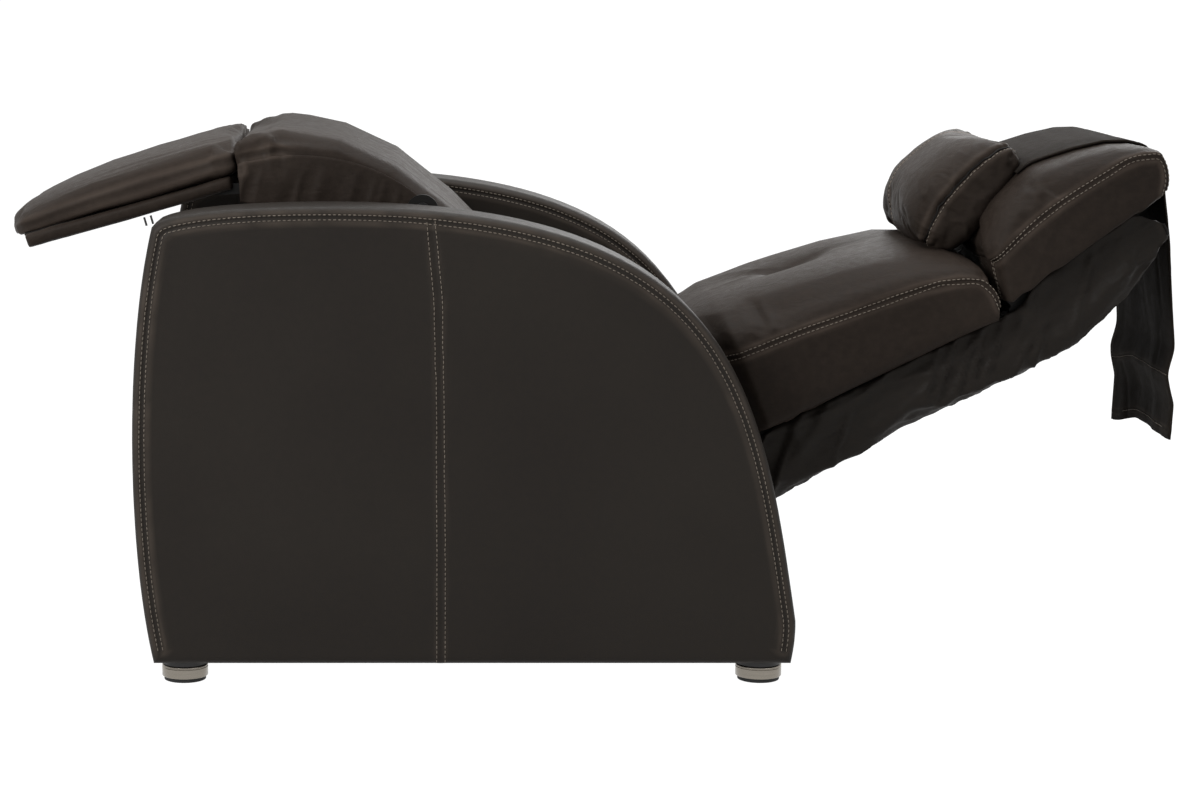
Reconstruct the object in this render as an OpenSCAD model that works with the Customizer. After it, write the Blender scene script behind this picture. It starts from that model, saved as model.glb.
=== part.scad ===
// Zero-gravity massage chair, stored fully reclined.
// +X points to the head end, +Y to the sitter's right arm, +Z up; the floor is Z = 0.

/* [Side panels] */
// Length of a side panel, front edge to rear edge
arm_len = 970; // [920:5:1020]
// Height of a side panel above its feet
arm_rise = 672; // [640:4:700]
// Thickness of a side panel
arm_th = 110; // [96:2:130]
// Clear width between the two side panels
inner_w = 540; // [510:5:590]
// Thickness of the padded leather over the wooden core
arm_pad = 14; // [12:1:18]
// Plywood thickness in the cores
board_th = 18; // [12:1:24]
// Where the front edge of the side panels lies
arm_front_x = -685; // [-700:5:-670]

/* [Feet] */
// Diameter of a foot
foot_d = 68; // [50:2:80]
// Height of the rubber pad under a foot
foot_pad_h = 6; // [4:1:9]
// Height of the nickel ring of a foot
foot_ring_h = 18; // [12:1:24]
// Height of the dark collar above the ring
foot_collar_h = 10; // [6:1:14]
// Front foot's centre behind the panel's front edge
foot_front_inset = 71; // [55:1:90]
// Rear foot's centre ahead of the panel's rear edge
foot_rear_inset = 48; // [44:1:70]
// Diameter of a foot's threaded stud
foot_stud_d = 10; // [8:1:12]

/* [Motion] */
// Seat tilt from fully reclined to upright, degrees
tilt_range = 30; // [20:1:32]
// Back lift towards upright, degrees
back_range = 16; // [8:1:18]
// Leg rest fold, degrees
leg_range = 16; // [8:1:18]
// Foot section fold, degrees
foot_range = 12; // [6:1:14]
// Travel of the massage carriage along the back
carriage_travel = 260; // [160:10:280]

/* [Seat] */
// Gap between a side panel and the tilting frame
side_gap = 10; // [9:0.5:14]
// Thickness of the steel side plates
plate_th = 8; // [6:1:10]
// Gap between neighbouring hinge plates
lane_gap = 2; // [1.5:0.5:3]
// Diameter of the tubes that cross the seat frame
cross_tube_d = 26; // [20:1:30]
// Thickness of the seat cushion at its middle
seat_cushion_th = 86; // [76:2:94]
// Plywood thickness of the seat deck
deck_th = 12; // [9:1:15]
// Diameter of the main pivot axles
pivot_d = 24; // [18:1:28]
// Diameter of the knee, back and foot hinge pins
hinge_pin_d = 14; // [10:1:16]

/* [Leg rest] */
// Plywood thickness of the calf board
calf_board_th = 15; // [12:1:18]
// Thickness of the padded foot board
foot_board_th = 25; // [20:1:28]
// Height of the flat bars that carry the two boards
leg_bar_h = 24; // [20:1:28]
// Half width of the calf cushion
calf_half_w = 250; // [225:1:250]
// Half width of the foot cushion
foot_half_w = 250; // [225:1:262]

/* [Back] */
// Half width of the back and head cushions above the side panels
back_half_w = 262; // [240:1:264]
// Height of the boxed side of the back cushion
boxing_h = 100; // [90:1:106]
// Half width of the leather cover under the back
cover_half_w = 232; // [226:1:240]
// Thickness of the padded cover under the back
cover_th = 12; // [8:1:14]
// Height of the rails of the back frame
back_rail_h = 28; // [22:1:30]
// Diameter of the guide rods of the massage carriage
guide_d = 14; // [10:1:16]
// Diameter of a massage roller
roller_d = 58; // [46:1:60]

/* [Pillow] */
// Half width of the neck pillow
pillow_half_w = 176; // [150:2:190]
// Half width of the leather drape behind the pillow
drape_half_w = 172; // [150:2:180]
// Thickness of the drape
drape_th = 3; // [2:0.5:5]
// How far the drape hangs below the top of the head cushion
drape_drop = 462; // [400:2:480]
// Height of the weighted pocket at the drape's end
pocket_h = 100; // [80:5:120]

/* [Drives] */
// Diameter of a linear actuator's tube
actuator_d = 42; // [36:1:46]
// Diameter of an actuator's rod
actuator_rod_d = 20; // [14:1:24]
// Diameter of the pins at the actuators' ends
actuator_pin_d = 12; // [8:1:14]
// Lever from the main pivot to the tilt actuator's pin
tilt_lever = 140; // [125:1:145]
// Lever from the knee hinge to the leg actuator's pin
leg_lever = 80; // [70:1:90]
// Lever from the back hinge to the back actuator's pin
back_lever = 75; // [68:1:82]

/* [Controls] */
// Diameter of a push button
button_d = 18; // [14:1:20]
// Distance between neighbouring push buttons
button_pitch = 24; // [23:1:27]
// How far a button stands proud, which is more than its travel
button_proud = 3; // [2.5:0.25:4]

/* [Hidden] */
$fn = 48;

BUTTONS = ["button_recline", "button_upright", "button_legs_up", "button_legs_down",
    "button_massage", "button_heat"];

// clearances
run_fit = 0.05;      // radial clearance of a pin that turns in a bore
seat_fit = 0.3;      // gap between a piece and what it rests on
slot_fit = 0.6;      // play of an actuator's eye along its rod
hole_past = 1;       // how far a cut runs past the face it opens

// places that follow from the sizes
half_w = inner_w / 2;
foot_h = foot_pad_h + foot_ring_h + foot_collar_h;
arm_top = foot_h + arm_rise;
arm_out = half_w + arm_th;
foot_y = half_w + arm_th / 2;
foot_xs = [arm_front_x + foot_front_inset, arm_front_x + arm_len - foot_rear_inset];

// lanes of the flat plates beside the cushions, from the outside in
seat_lane = [half_w - side_gap - plate_th, half_w - side_gap];
inner_lane = [seat_lane[0] - lane_gap - plate_th, seat_lane[0] - lane_gap];
foot_lane = [inner_lane[0] - lane_gap - plate_th, inner_lane[0] - lane_gap];
seat_half_w = inner_lane[0] - lane_gap;

// joint axes in the XZ plane at rest
pivot = [-100, 300];
knee = [-262, 690];
foot_hinge = [-517, 722];
back_hinge = [60, 415];
calf_len = norm(foot_hinge - knee);
calf_angle = atan2(foot_hinge[1] - knee[1], foot_hinge[0] - knee[0]);
foot_angle = 196;
foot_len = 344;
back_pitch = 26.1;
head_pitch = 35.6;

// ---- points and curves -------------------------------------------------
function polar(c, r, a) = [c[0] + r * cos(a), c[1] + r * sin(a)];
function unit(v) = v / norm(v);
function left_of(d) = [-d[1], d[0]];
function bezier(p, t) = pow(1 - t, 3) * p[0] + 3 * pow(1 - t, 2) * t * p[1]
    + 3 * (1 - t) * t * t * p[2] + pow(t, 3) * p[3];
function bezier_way(p, t) = unit(pow(1 - t, 2) * (p[1] - p[0])
    + 2 * (1 - t) * t * (p[2] - p[1]) + t * t * (p[3] - p[2]));
function bezier_run(p, n) = [for (i = [0 : n - 1]) bezier(p, i / n)];
function signed_pow(v, e) = sign(v) * pow(abs(v), e);
function from_back(a, p) = back_hinge + a * [cos(back_pitch), sin(back_pitch)]
    + p * [-sin(back_pitch), cos(back_pitch)];

// ---- soft pads ---------------------------------------------------------
// A pad follows a Bezier centreline in the XZ plane, at the height of its widest seam.
// spec = [centreline, half-width table, crown table, depth table,
//         [end roundness in plan, end roundness in profile], crown roundness, side roundness, tufts,
//         lean of the underside at the start in degrees]
// A tuft is [place along, place across, depth, reach].
function end_round(e, t) = pow(max(0, 1 - pow(abs(2 * t - 1), 2 / e)), e / 2);
function pad_narrow(s, t) = end_round(s[4][0], t);
function pad_shrink(s, t) = end_round(s[4][1], t);
function tuft_sum(s, t, y) = len(s[7]) == 0 ? 0
    : [for (q = s[7]) q[2] * exp(-(pow((t - q[0]) * norm(s[0][3] - s[0][0]), 2)
        + pow(y - q[1], 2)) / pow(q[3], 2))] * [for (q = s[7]) 1];
function turned(v, a) = [v[0] * cos(a) - v[1] * sin(a), v[0] * sin(a) + v[1] * cos(a)];
function lean_at(lean, t) = lean * max(0, 1 - 2 * t);
function pad_place(s, t, y, h) = let(o = bezier(s[0], t), n = left_of(bezier_way(s[0], t)),
    m = h < 0 ? turned(n, lean_at(s[8], t)) : n) [o[0] + m[0] * h, y, o[1] + m[1] * h];
// height of the crown at a place along and across
function crown_at(s, t, y) = let(k = pad_shrink(s, t), w = pad_narrow(s, t) * lookup(t, s[1]))
    k * lookup(t, s[2]) * pow(max(0, 1 - pow(abs(y) / w, 2 / s[5])), s[5] / 2)
    - tuft_sum(s, t, y) * k;
function ring_point(s, t, k, f) = let(e = sin(f) >= 0 ? s[5] : s[6],
    y = pad_narrow(s, t) * lookup(t, s[1]) * signed_pow(cos(f), e),
    h = k * (sin(f) >= 0 ? lookup(t, s[2]) : lookup(t, s[3])) * signed_pow(sin(f), e))
    pad_place(s, t, y, sin(f) > 0 ? h - tuft_sum(s, t, y) * k * sin(f) : h);
function pad_points(s, rings, sides) = concat([pad_place(s, 0, 0, 0)],
    [for (i = [1 : rings]) let(t = 0.5 - 0.5 * cos(180 * i / (rings + 1)), k = pad_shrink(s, t))
        for (j = [0 : sides - 1]) ring_point(s, t, k, 360 * j / sides)],
    [pad_place(s, 1, 0, 0)]);
function pad_faces(rings, sides) = concat(
    [for (j = [0 : sides - 1]) [0, 1 + j, 1 + (j + 1) % sides]],
    [for (i = [0 : rings - 2], j = [0 : sides - 1], half = [0, 1])
        let(a = 1 + i * sides + j, b = 1 + i * sides + (j + 1) % sides)
        half == 0 ? [a, a + sides, b + sides] : [a, b + sides, b]],
    [for (j = [0 : sides - 1]) let(m = 1 + (rings - 1) * sides)
        [1 + rings * sides, m + (j + 1) % sides, m + j]]);
module pad(s, rings, sides) {
    polyhedron(points = pad_points(s, rings, sides), faces = pad_faces(rings, sides));
}
// depth table of a pad whose underside lies flat on a plane through p at angle a
function depth_to(line, p, a, gap, lean = 0) = [for (t = [0 : 0.05 : 1]) let(m = [-sin(a), cos(a)],
    n = turned(left_of(bezier_way(line, t)), lean_at(lean, t)))
    [t, max(2, ((bezier(line, t) - p) * m - gap) / (n * m))]];

// planes that the cushions rest on
foot_board_p = 2;
foot_plane = polar(foot_hinge, foot_board_th + foot_board_p, foot_angle - 90);
calf_plane = polar(knee, leg_bar_h / 2, calf_angle - 90);
hinge_over_boxing = 37;
back_p = -hinge_over_boxing - boxing_h;
back_plane = from_back(0, back_p);
head_plane = [600, 545];
seat_pitch = -52;
seat_top = [-5, 461];
seat_plane = polar(seat_top, seat_cushion_th, seat_pitch - 90);

foot_line = [[-880, 650], [-792, 690], [-652, 738], [-540.6, 762]];
calf_line = [[-533, 756], [-480, 787], [-370, 800], [-265, 722]];
seat_line = [[-257, 716], [-215, 704], [-128, 590], [-24, 412]];
back_line = [[12, 402], [190, 452], [412, 568], [571, 594]];
head_line = [[592, 626], [650, 690], [752, 775], [826, 752]];
pillow_line = [[507.6, 648.4], [533.6, 684.4], [580.6, 735.4], [626.6, 774.4]];

foot_pad_spec = [foot_line, [[0, foot_half_w - 25], [0.3, foot_half_w], [1, foot_half_w]],
    [[0, 16], [0.12, 30], [0.3, 41], [0.65, 47], [1, 36]],
    depth_to(foot_line, foot_plane, foot_angle - 180, seat_fit), [0.34, 0.34], 0.62, 0.5, [], 0];
calf_pad_spec = [calf_line, [[0, calf_half_w], [1, calf_half_w]],
    [[0, 34], [0.35, 32], [0.7, 28], [1, 20]],
    depth_to(calf_line, calf_plane, calf_angle - 180, seat_fit), [0.16, 0.22], 0.6, 0.45, [], 0];
// the seat cushion is thin at the knee, where the calf section folds under it
seat_depth = [for (q = depth_to(seat_line, seat_plane, seat_pitch, seat_fit))
    [q[0], q[1] * min(1, 0.14 + 2.4 * q[0])]];
seat_pad_spec = [seat_line, [[0, seat_half_w], [1, seat_half_w]],
    [[0, 12], [0.25, 16], [1, 24]], seat_depth, [0.16, 0.24], 0.45, 0.3, [[0.55, 0, 8, 60]], 0];
// the back cushion is thin and narrow inside the panels and boxed above them
thin_back = 34;
box_start = 0.21;
box_slope = 900;
back_depth = [for (q = depth_to(back_line, back_plane, back_pitch, seat_fit))
    [q[0], min(q[1], thin_back + box_slope * max(0, q[0] - box_start))]];
back_pad_spec = [back_line,
    [[0, seat_half_w - 4], [box_start, seat_half_w], [box_start + 0.07, back_half_w], [1, back_half_w]],
    [[0, 44], [0.2, 66], [0.4, 82], [0.6, 81], [0.8, 79], [1, 50]],
    back_depth, [0.12, 0.2], 0.78, 0.14, [[0.48, 0, 16, 46]], 0];
// the head cushion's front stands upright, close behind the back cushion
head_lean = -40;
head_pad_spec = [head_line, [[0, back_half_w], [1, back_half_w]],
    [[0, 40], [0.25, 62], [0.5, 60], [0.75, 40], [0.9, 17], [1, 12]],
    depth_to(head_line, head_plane, head_pitch, seat_fit, head_lean),
    [0.14, 0.22], 0.7, 0.18, [], head_lean];
pillow_spec = [pillow_line, [[0, pillow_half_w - 14], [0.5, pillow_half_w], [1, pillow_half_w - 14]],
    [[0, 84], [0.4, 80], [1, 62]], [[0, 20], [0.5, 25], [1, 20]], [0.1, 0.7], 0.5, 0.32, [], 0];

// ---- drives ------------------------------------------------------------
// An actuator pulls or pushes a pin on a lever; its line is square to the lever at mid travel.
function drive_angle(lever_a, range) = lever_a + range / 2 + 90;
function drive_eye(c, r, lever_a, range) = let(a = drive_angle(lever_a, range), m = lever_a + range / 2)
    polar(polar(c, r * (1 + cos(range / 2)) / 2, m), -r * sin(range / 2), a);
tilt_lever_a = 152;
leg_lever_a = 205.4;
back_lever_a = 275.5;
tilt_way = drive_angle(tilt_lever_a, tilt_range);
leg_way = drive_angle(leg_lever_a, leg_range);
back_way = drive_angle(back_lever_a, back_range);
tilt_pin = polar(pivot, tilt_lever, tilt_lever_a);
leg_pin = polar(knee, leg_lever, leg_lever_a);
back_pin = polar(back_hinge, back_lever, back_lever_a);
tilt_eye = drive_eye(pivot, tilt_lever, tilt_lever_a, tilt_range);
leg_eye = drive_eye(knee, leg_lever, leg_lever_a, leg_range);
back_eye = drive_eye(back_hinge, back_lever, back_lever_a, back_range);
leg_drive_y = 110;
back_drive_y = -110;
eye_w = 14;
eye_r = actuator_pin_d / 2 + 8;
lug_th = 6;
lug_gap = 1;

// ---- shared shapes -----------------------------------------------------
module slab(y0, y1) {
    rotate([90, 0, 0]) translate([0, 0, -y1]) linear_extrude(y1 - y0) children();
}
module both_sides() {
    children();
    mirror([0, 1, 0]) children();
}
module rod_y(c, r, y0, y1) {
    translate([c[0], y0, c[1]]) rotate([-90, 0, 0]) cylinder(r = r, h = y1 - y0);
}
module bar2d(p, q, r) {
    w = r * left_of(unit(q - p));
    polygon([p + w, p - w, q - w, q + w]);
    translate(p) circle(r);
    translate(q) circle(r);
}
module along(c, a, y = 0) {
    translate([c[0], y, c[1]]) rotate([0, -a, 0]) children();
}
module box(a0, a1, y0, y1, p0, p1) {
    translate([a0, y0, p0]) cube([a1 - a0, y1 - y0, p1 - p0]);
}
module rod_x(r, a0, a1, y = 0, p = 0) {
    translate([a0, y, p]) rotate([0, 90, 0]) cylinder(r = r, h = a1 - a0);
}
// a hinge pin through the plates from y0 to y1, with a flat head on its outer end
pin_head_r = hinge_pin_d / 2 + 5;
pin_head_h = 3;
module hinge_pin(c, y0, y1) {
    rod_y(c, hinge_pin_d / 2, y0 - hole_past, y1);
    rod_y(c, pin_head_r, y1, y1 + pin_head_h);
}

// two plates that hold an actuator's end pin at p and are welded to what lies at root
module lugs(p, root, y, r = eye_r) {
    for (s = [-1, 1]) translate([0, y + s * (eye_w / 2 + lug_gap + lug_th / 2), 0])
        slab(-lug_th / 2, lug_th / 2) difference() {
            bar2d(p, root, r);
            translate(p) circle(actuator_pin_d / 2 + run_fit);
        }
}
// the pin in a pair of lugs, and the one that stands proud of them
module lever_pin(p, y, proud = 0) {
    reach = eye_w / 2 + lug_gap + lug_th + proud;
    rod_y(p, actuator_pin_d / 2, y - reach, y + reach);
}
module anchor_pin(p, y) { lever_pin(p, y, 2); }

// ---- side panels -------------------------------------------------------
// outline of a side panel, moved inwards by d
function arm_at(u, v, d) = [arm_front_x + d + u * (arm_len - 2 * d), foot_h + d + v * (arm_rise - 2 * d)];
function arm_curve(p, d) = [for (q = p) arm_at(q[0], q[1], d)];
front_edge = [[0.029, 0], [-0.009, 0.241], [-0.011, 0.692], [0.034, 0.955]];
front_corner = [[0.034, 0.955], [0.041, 0.979], [0.129, 1], [0.294, 1]];
top_sweep = [[0.294, 1], [0.897, 1], [0.941, 0.64], [1, 0.095]];
rear_edge = [[1, 0.095], [1.001, 0.06], [0.998, 0.03], [0.994, 0]];
function arm_outline(d) = concat(bezier_run(arm_curve(front_edge, d), 10),
    bezier_run(arm_curve(front_corner, d), 7), bezier_run(arm_curve(top_sweep, d), 24),
    bezier_run(arm_curve(rear_edge, d), 3), [arm_at(0.994, 0, d)]);
edge_round = 4;
module right_arm_blank() {
    slab(half_w, half_w + edge_round) polygon(arm_outline(edge_round / 2));
    slab(half_w + edge_round, arm_out - edge_round) polygon(arm_outline(0));
    slab(arm_out - edge_round, arm_out) polygon(arm_outline(edge_round / 2));
}
module foot_places(side) {
    for (x = foot_xs) translate([x, side * foot_y, 0]) children();
}
stud_top = foot_h + arm_pad + 40;
// holes through a side panel for the foot studs, the axle and the crossbar bolts
module arm_holes(side) {
    foot_places(side) cylinder(d = foot_stud_d + 2 * run_fit, h = stud_top + 1);
    mirror([0, side > 0 ? 0 : 1, 0]) {
        rod_y(pivot, pivot_d / 2 + run_fit, half_w - 1, axle_end);
        bolt_places() rod_y([0, 0], bolt_d / 2 + run_fit, half_w - 1, bolt_end);
    }
}
module arm_cover(side) {
    color("#2e2a27") difference() {
        mirror([0, side > 0 ? 0 : 1, 0]) difference() {
            right_arm_blank();
            slab(half_w + arm_pad, arm_out - arm_pad) polygon(arm_outline(arm_pad));
        }
        arm_holes(side);
        if (side > 0) control_pocket();
    }
}
core_wall = 44;
module arm_frame(side) {
    inset = arm_pad + seat_fit;
    y0 = half_w + inset;
    y1 = arm_out - inset;
    color("#b48a5a") difference() {
        mirror([0, side > 0 ? 0 : 1, 0]) {
            slab(y0, y0 + board_th) polygon(arm_outline(inset));
            slab(y1 - board_th, y1) polygon(arm_outline(inset));
            slab(y0, y1) difference() {
                polygon(arm_outline(inset));
                polygon(arm_outline(inset + core_wall));
            }
        }
        arm_holes(side);
    }
}
module foot_collars() {
    color("#1d1b1a") for (side = [-1, 1]) foot_places(side)
        translate([0, 0, foot_pad_h + foot_ring_h]) difference() {
            cylinder(d = foot_d - 4, h = foot_collar_h);
            translate([0, 0, -1]) cylinder(d = foot_stud_d + 2 * run_fit, h = foot_collar_h + 2);
        }
}
module foot_rings() {
    color("#8d8880") for (side = [-1, 1]) foot_places(side)
        translate([0, 0, foot_pad_h]) difference() {
            cylinder(d = foot_d, h = foot_ring_h);
            translate([0, 0, -1]) cylinder(d = foot_stud_d + 2 * run_fit, h = foot_ring_h + 2);
        }
}
module foot_pads() {
    color("#161616") for (side = [-1, 1]) foot_places(side)
        cylinder(d = foot_d - 6, h = foot_pad_h);
}
module foot_studs() {
    color("silver") for (side = [-1, 1]) foot_places(side)
        translate([0, 0, foot_pad_h]) cylinder(d = foot_stud_d, h = stud_top - foot_pad_h);
}

// ---- base between the panels -------------------------------------------
bar_z = 62;
bar_h = 44;
bar_w = 34;
bar_end_th = 6;
bar_xs = [-440, -290, 198];
bolt_d = 10;
bolt_spread = 64;
bolt_margin = 14;
bolt_end = half_w + arm_pad + board_th + 6;
axle_end = half_w + arm_pad + board_th + 4;
module bolt_places() {
    for (x = bar_xs, s = [-1, 1]) translate([x, 0, bar_z + bar_h / 2 + s * bolt_spread / 2]) children();
}
module crossbar(x) {
    color("#3a3a3c") difference() {
        union() {
            translate([x - bar_w / 2, -half_w + bar_end_th, bar_z])
                cube([bar_w, inner_w - 2 * bar_end_th, bar_h]);
            both_sides() translate([x - bar_w / 2, half_w - bar_end_th,
                bar_z + bar_h / 2 - bolt_spread / 2 - bolt_margin])
                cube([bar_w, bar_end_th, bolt_spread + 2 * bolt_margin]);
        }
        both_sides() for (s = [-1, 1])
            rod_y([x, bar_z + bar_h / 2 + s * bolt_spread / 2], bolt_d / 2 + run_fit,
                half_w - bar_end_th - 1, half_w + 1);
    }
}
module middle_crossbar() {
    crossbar(bar_xs[1]);
    color("#3a3a3c") lugs(tilt_base, [bar_xs[1], bar_z + bar_h / 2], 0);
}
module crossbar_bolts() {
    head_r = bolt_d * 0.85;
    color("silver") both_sides() bolt_places() {
        rod_y([0, 0], bolt_d / 2, half_w - bar_end_th, bolt_end);
        rod_y([0, 0], head_r, half_w - bar_end_th - 5, half_w - bar_end_th);
    }
}
flange_th = 5;
module pivot_axle(side) {
    color("#6d6f73") mirror([0, side > 0 ? 0 : 1, 0]) {
        rod_y(pivot, pivot_d / 2, inner_lane[1] - 2, axle_end);
        rod_y(pivot, pivot_d / 2 + 26, half_w - flange_th, half_w);
    }
}
panel_th = 15;
front_panel_h = 300;
rear_panel_h = 142;
module front_panel() {
    x = bar_xs[0] - bar_w / 2 - panel_th;
    color("#2b2725") translate([x, -half_w + seat_fit, foot_h + 6])
        cube([panel_th, inner_w - 2 * seat_fit, front_panel_h]);
}
rear_panel_x = bar_xs[2] + bar_w / 2;
module rear_panel() {
    color("#2b2725") difference() {
        translate([rear_panel_x, -half_w + seat_fit, foot_h + 6])
            cube([panel_th, inner_w - 2 * seat_fit, rear_panel_h]);
        inlet_hole();
    }
}
inlet_y = -120;
inlet_z = bar_z + bar_h + 28;
inlet_w = 48;
inlet_h = 28;
module inlet_hole() {
    translate([rear_panel_x - 12, inlet_y - inlet_w / 2, inlet_z - inlet_h / 2])
        cube([panel_th + 24, inlet_w, inlet_h]);
}
module mains_inlet() {
    face = rear_panel_x + panel_th;
    color("#141414") difference() {
        union() {
            translate([rear_panel_x - 10, inlet_y - inlet_w / 2 + seat_fit, inlet_z - inlet_h / 2 + seat_fit])
                cube([panel_th + 10, inlet_w - 2 * seat_fit, inlet_h - 2 * seat_fit]);
            translate([face, inlet_y - inlet_w / 2 - 5, inlet_z - inlet_h / 2 - 4])
                cube([3, inlet_w + 10, inlet_h + 8]);
        }
        translate([face - 12, inlet_y - inlet_w / 2 + 8, inlet_z - inlet_h / 2 + 6])
            cube([16, inlet_w - 16, inlet_h - 12]);
    }
}
supply_size = [120, 170, 74];
supply_x = bar_xs[2] - bar_w / 2 - supply_size[0];
module power_supply() {
    color("#57595c") translate([supply_x, inlet_y - supply_size[1] / 2, bar_z])
        cube(supply_size);
}
module control_box() {
    color("#3c4a3f") translate([supply_x + 20, -inlet_y - 80, bar_z])
        cube([supply_size[0] - 20, 160, 52]);
}

// ---- linear actuators --------------------------------------------------
tilt_body_start = tilt_lever * 2 * sin(tilt_range / 2) + eye_r + 14;
tilt_body_end = 244;
tilt_base = polar(tilt_eye, tilt_body_end, tilt_way);
pivot_tube_d = 36;
anchor_out = pivot_tube_d / 2 + eye_r + 4;
leg_body_end = norm(leg_eye - pivot) - anchor_out;
leg_body_start = leg_body_end - 200;
back_body_end = norm(back_eye - pivot) - anchor_out;
back_body_start = eye_r + 12;
leg_anchor = polar(leg_eye, leg_body_end, leg_way);
back_anchor = polar(back_eye, back_body_end, back_way + 180);
// tube, motor housing and rear eye of an actuator; u runs from the driven eye to the fixed end
module actuator_body(eye, way, y, start, end, motor_side) {
    color("#1f2022") along(eye, way, y) difference() {
        union() {
            rod_x(actuator_d / 2, start, end - eye_r - 6);
            box(end - eye_r - 10, end, -eye_w / 2, eye_w / 2, -eye_r + 4, eye_r - 4);
            translate([end, -eye_w / 2, 0]) rotate([-90, 0, 0]) cylinder(r = eye_r, h = eye_w);
            translate([0, motor_side * (actuator_d / 2 + 18), 0])
                rod_x(20, end - eye_r - 96, end - eye_r - 8);
            box(end - eye_r - 60, end - eye_r - 8, min(0, motor_side * 44), max(0, motor_side * 44), -16, 16);
        }
        rod_x(actuator_rod_d / 2 + run_fit, start - 1, end - eye_r - 20);
        translate([end, -eye_w, 0]) rotate([-90, 0, 0])
            cylinder(r = actuator_pin_d / 2 + run_fit, h = 2 * eye_w);
    }
}
// rod with a slotted eye: the slot takes up the sideways travel of the lever's pin
module actuator_rod(eye, way, y, start, reach, slack) {
    color("#b9bbbd") along(eye, way, y) difference() {
        union() {
            translate([0, -eye_w / 2, 0]) rotate([-90, 0, 0]) cylinder(r = eye_r + slack / 2, h = eye_w);
            box(eye_r - 4, eye_r + 5, -eye_w / 2, eye_w / 2, 2 - eye_w / 2, eye_w / 2 - 2);
            rod_x(actuator_rod_d / 2, eye_r + 4, start + reach);
        }
        slot_r = actuator_pin_d / 2 + slot_fit;
        for (s = [-1, 1]) translate([0, -eye_w, s * slack / 2]) rotate([-90, 0, 0])
            cylinder(r = slot_r, h = 2 * eye_w);
        box(-slot_r, slot_r, -eye_w, eye_w, -slack / 2, slack / 2);
    }
}
function slack_of(lever, range) = lever * (1 - cos(range / 2)) + 0.4;
module tilt_actuator_body() {
    actuator_body(tilt_eye, tilt_way, 0, tilt_body_start, tilt_body_end, 1);
    color("silver") anchor_pin(tilt_base, 0);
}
module tilt_actuator_rod() {
    actuator_rod(tilt_eye, tilt_way, 0, tilt_body_start, 20, slack_of(tilt_lever, tilt_range));
}
module leg_actuator_body() {
    actuator_body(leg_eye, leg_way, leg_drive_y, leg_body_start, leg_body_end, -1);
    color("silver") anchor_pin(leg_anchor, leg_drive_y);
}
module leg_actuator_rod() {
    actuator_rod(leg_eye, leg_way, leg_drive_y, leg_body_start, 50, slack_of(leg_lever, leg_range));
}
module back_actuator_body() {
    actuator_body(back_eye, back_way + 180, back_drive_y, back_body_start, back_body_end, 1);
    color("silver") anchor_pin(back_anchor, back_drive_y);
}
module back_actuator_rod() {
    actuator_rod(back_eye, back_way + 180, back_drive_y, back_body_start, 40,
        slack_of(back_lever, back_range));
}

// ---- tilting seat ------------------------------------------------------
function on_seat(a, p) = seat_plane + a * [cos(seat_pitch), sin(seat_pitch)]
    + p * [-sin(seat_pitch), cos(seat_pitch)];
deck_len = 240;
deck_inset = 4;
tube_under_deck = -deck_th - cross_tube_d / 2;
upper_tube_a = -222;
lower_tube_a = -40;
upper_tube = on_seat(upper_tube_a, tube_under_deck);
lower_tube = on_seat(lower_tube_a, tube_under_deck);
bush_wall = 5;
pin_fit_r = hinge_pin_d / 2 + run_fit;
plate_r = 24;
pivot_plate_r = 30;
module seat_plate_shape() {
    difference() {
        union() {
            bar2d(knee, upper_tube, plate_r);
            bar2d(upper_tube, lower_tube, plate_r);
            bar2d(lower_tube, pivot, pivot_plate_r);
            bar2d(lower_tube, back_hinge, plate_r - 2);
            bar2d(pivot, back_hinge, plate_r);
        }
        translate(knee) circle(pin_fit_r);
        translate(back_hinge) circle(pin_fit_r);
        translate(pivot) circle(pivot_d / 2 + bush_wall + run_fit);
    }
}
module seat_frame() {
    tube_end = seat_lane[0];
    color("#303134") {
        both_sides() slab(seat_lane[0], seat_lane[1]) seat_plate_shape();
        for (c = [upper_tube, lower_tube]) rod_y(c, cross_tube_d / 2, -tube_end, tube_end);
        difference() {
            rod_y(pivot, pivot_tube_d / 2, -tube_end, tube_end);
            rod_y(pivot, pivot_tube_d / 2 - 4, -tube_end - 1, tube_end + 1);
        }
        difference() {
            union() {
                lugs(tilt_pin, pivot, 0);
                lugs(tilt_pin, on_seat(lower_tube_a, -deck_th - eye_r), 0, eye_r - 2);
                lugs(leg_anchor, pivot, leg_drive_y);
                lugs(back_anchor, pivot, back_drive_y);
            }
            rod_y(pivot, pivot_tube_d / 2 - 1, -tube_end, tube_end);
        }
    }
    color("silver") lever_pin(tilt_pin, 0);
}
module pivot_bushes() {
    color("#c9a24b") both_sides() difference() {
        union() {
            rod_y(pivot, pivot_d / 2 + bush_wall, seat_lane[0], seat_lane[1]);
            rod_y(pivot, pivot_d / 2 + bush_wall + 5, seat_lane[1], seat_lane[1] + 2);
        }
        rod_y(pivot, pivot_d / 2 + run_fit, seat_lane[0] - 1, seat_lane[1] + 3);
    }
}
module seat_deck() {
    color("#b48a5a") along(seat_plane, seat_pitch)
        box(-deck_len - deck_inset, -deck_inset, deck_inset - seat_half_w, seat_half_w - deck_inset,
            -deck_th, 0);
}
module seat_cushion() {
    color("#34302c") pad(seat_pad_spec, 16, 24);
}
vibrator_r = 22;
vibrator_h = 22;
vibrator_y = 60;
module vibrator() {
    rotate([180, 0, 0]) {
        cylinder(r = vibrator_r, h = vibrator_h);
        cylinder(r = vibrator_r + 6, h = 4);
    }
}
module seat_vibrators() {
    color("#26282b") along(seat_plane, seat_pitch)
        for (s = [-1, 1]) translate([-deck_len / 2, s * vibrator_y, -deck_th]) vibrator();
}
module knee_pins() {
    color("silver") both_sides()
        hinge_pin(knee, inner_lane[0], seat_lane[1]);
}
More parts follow.
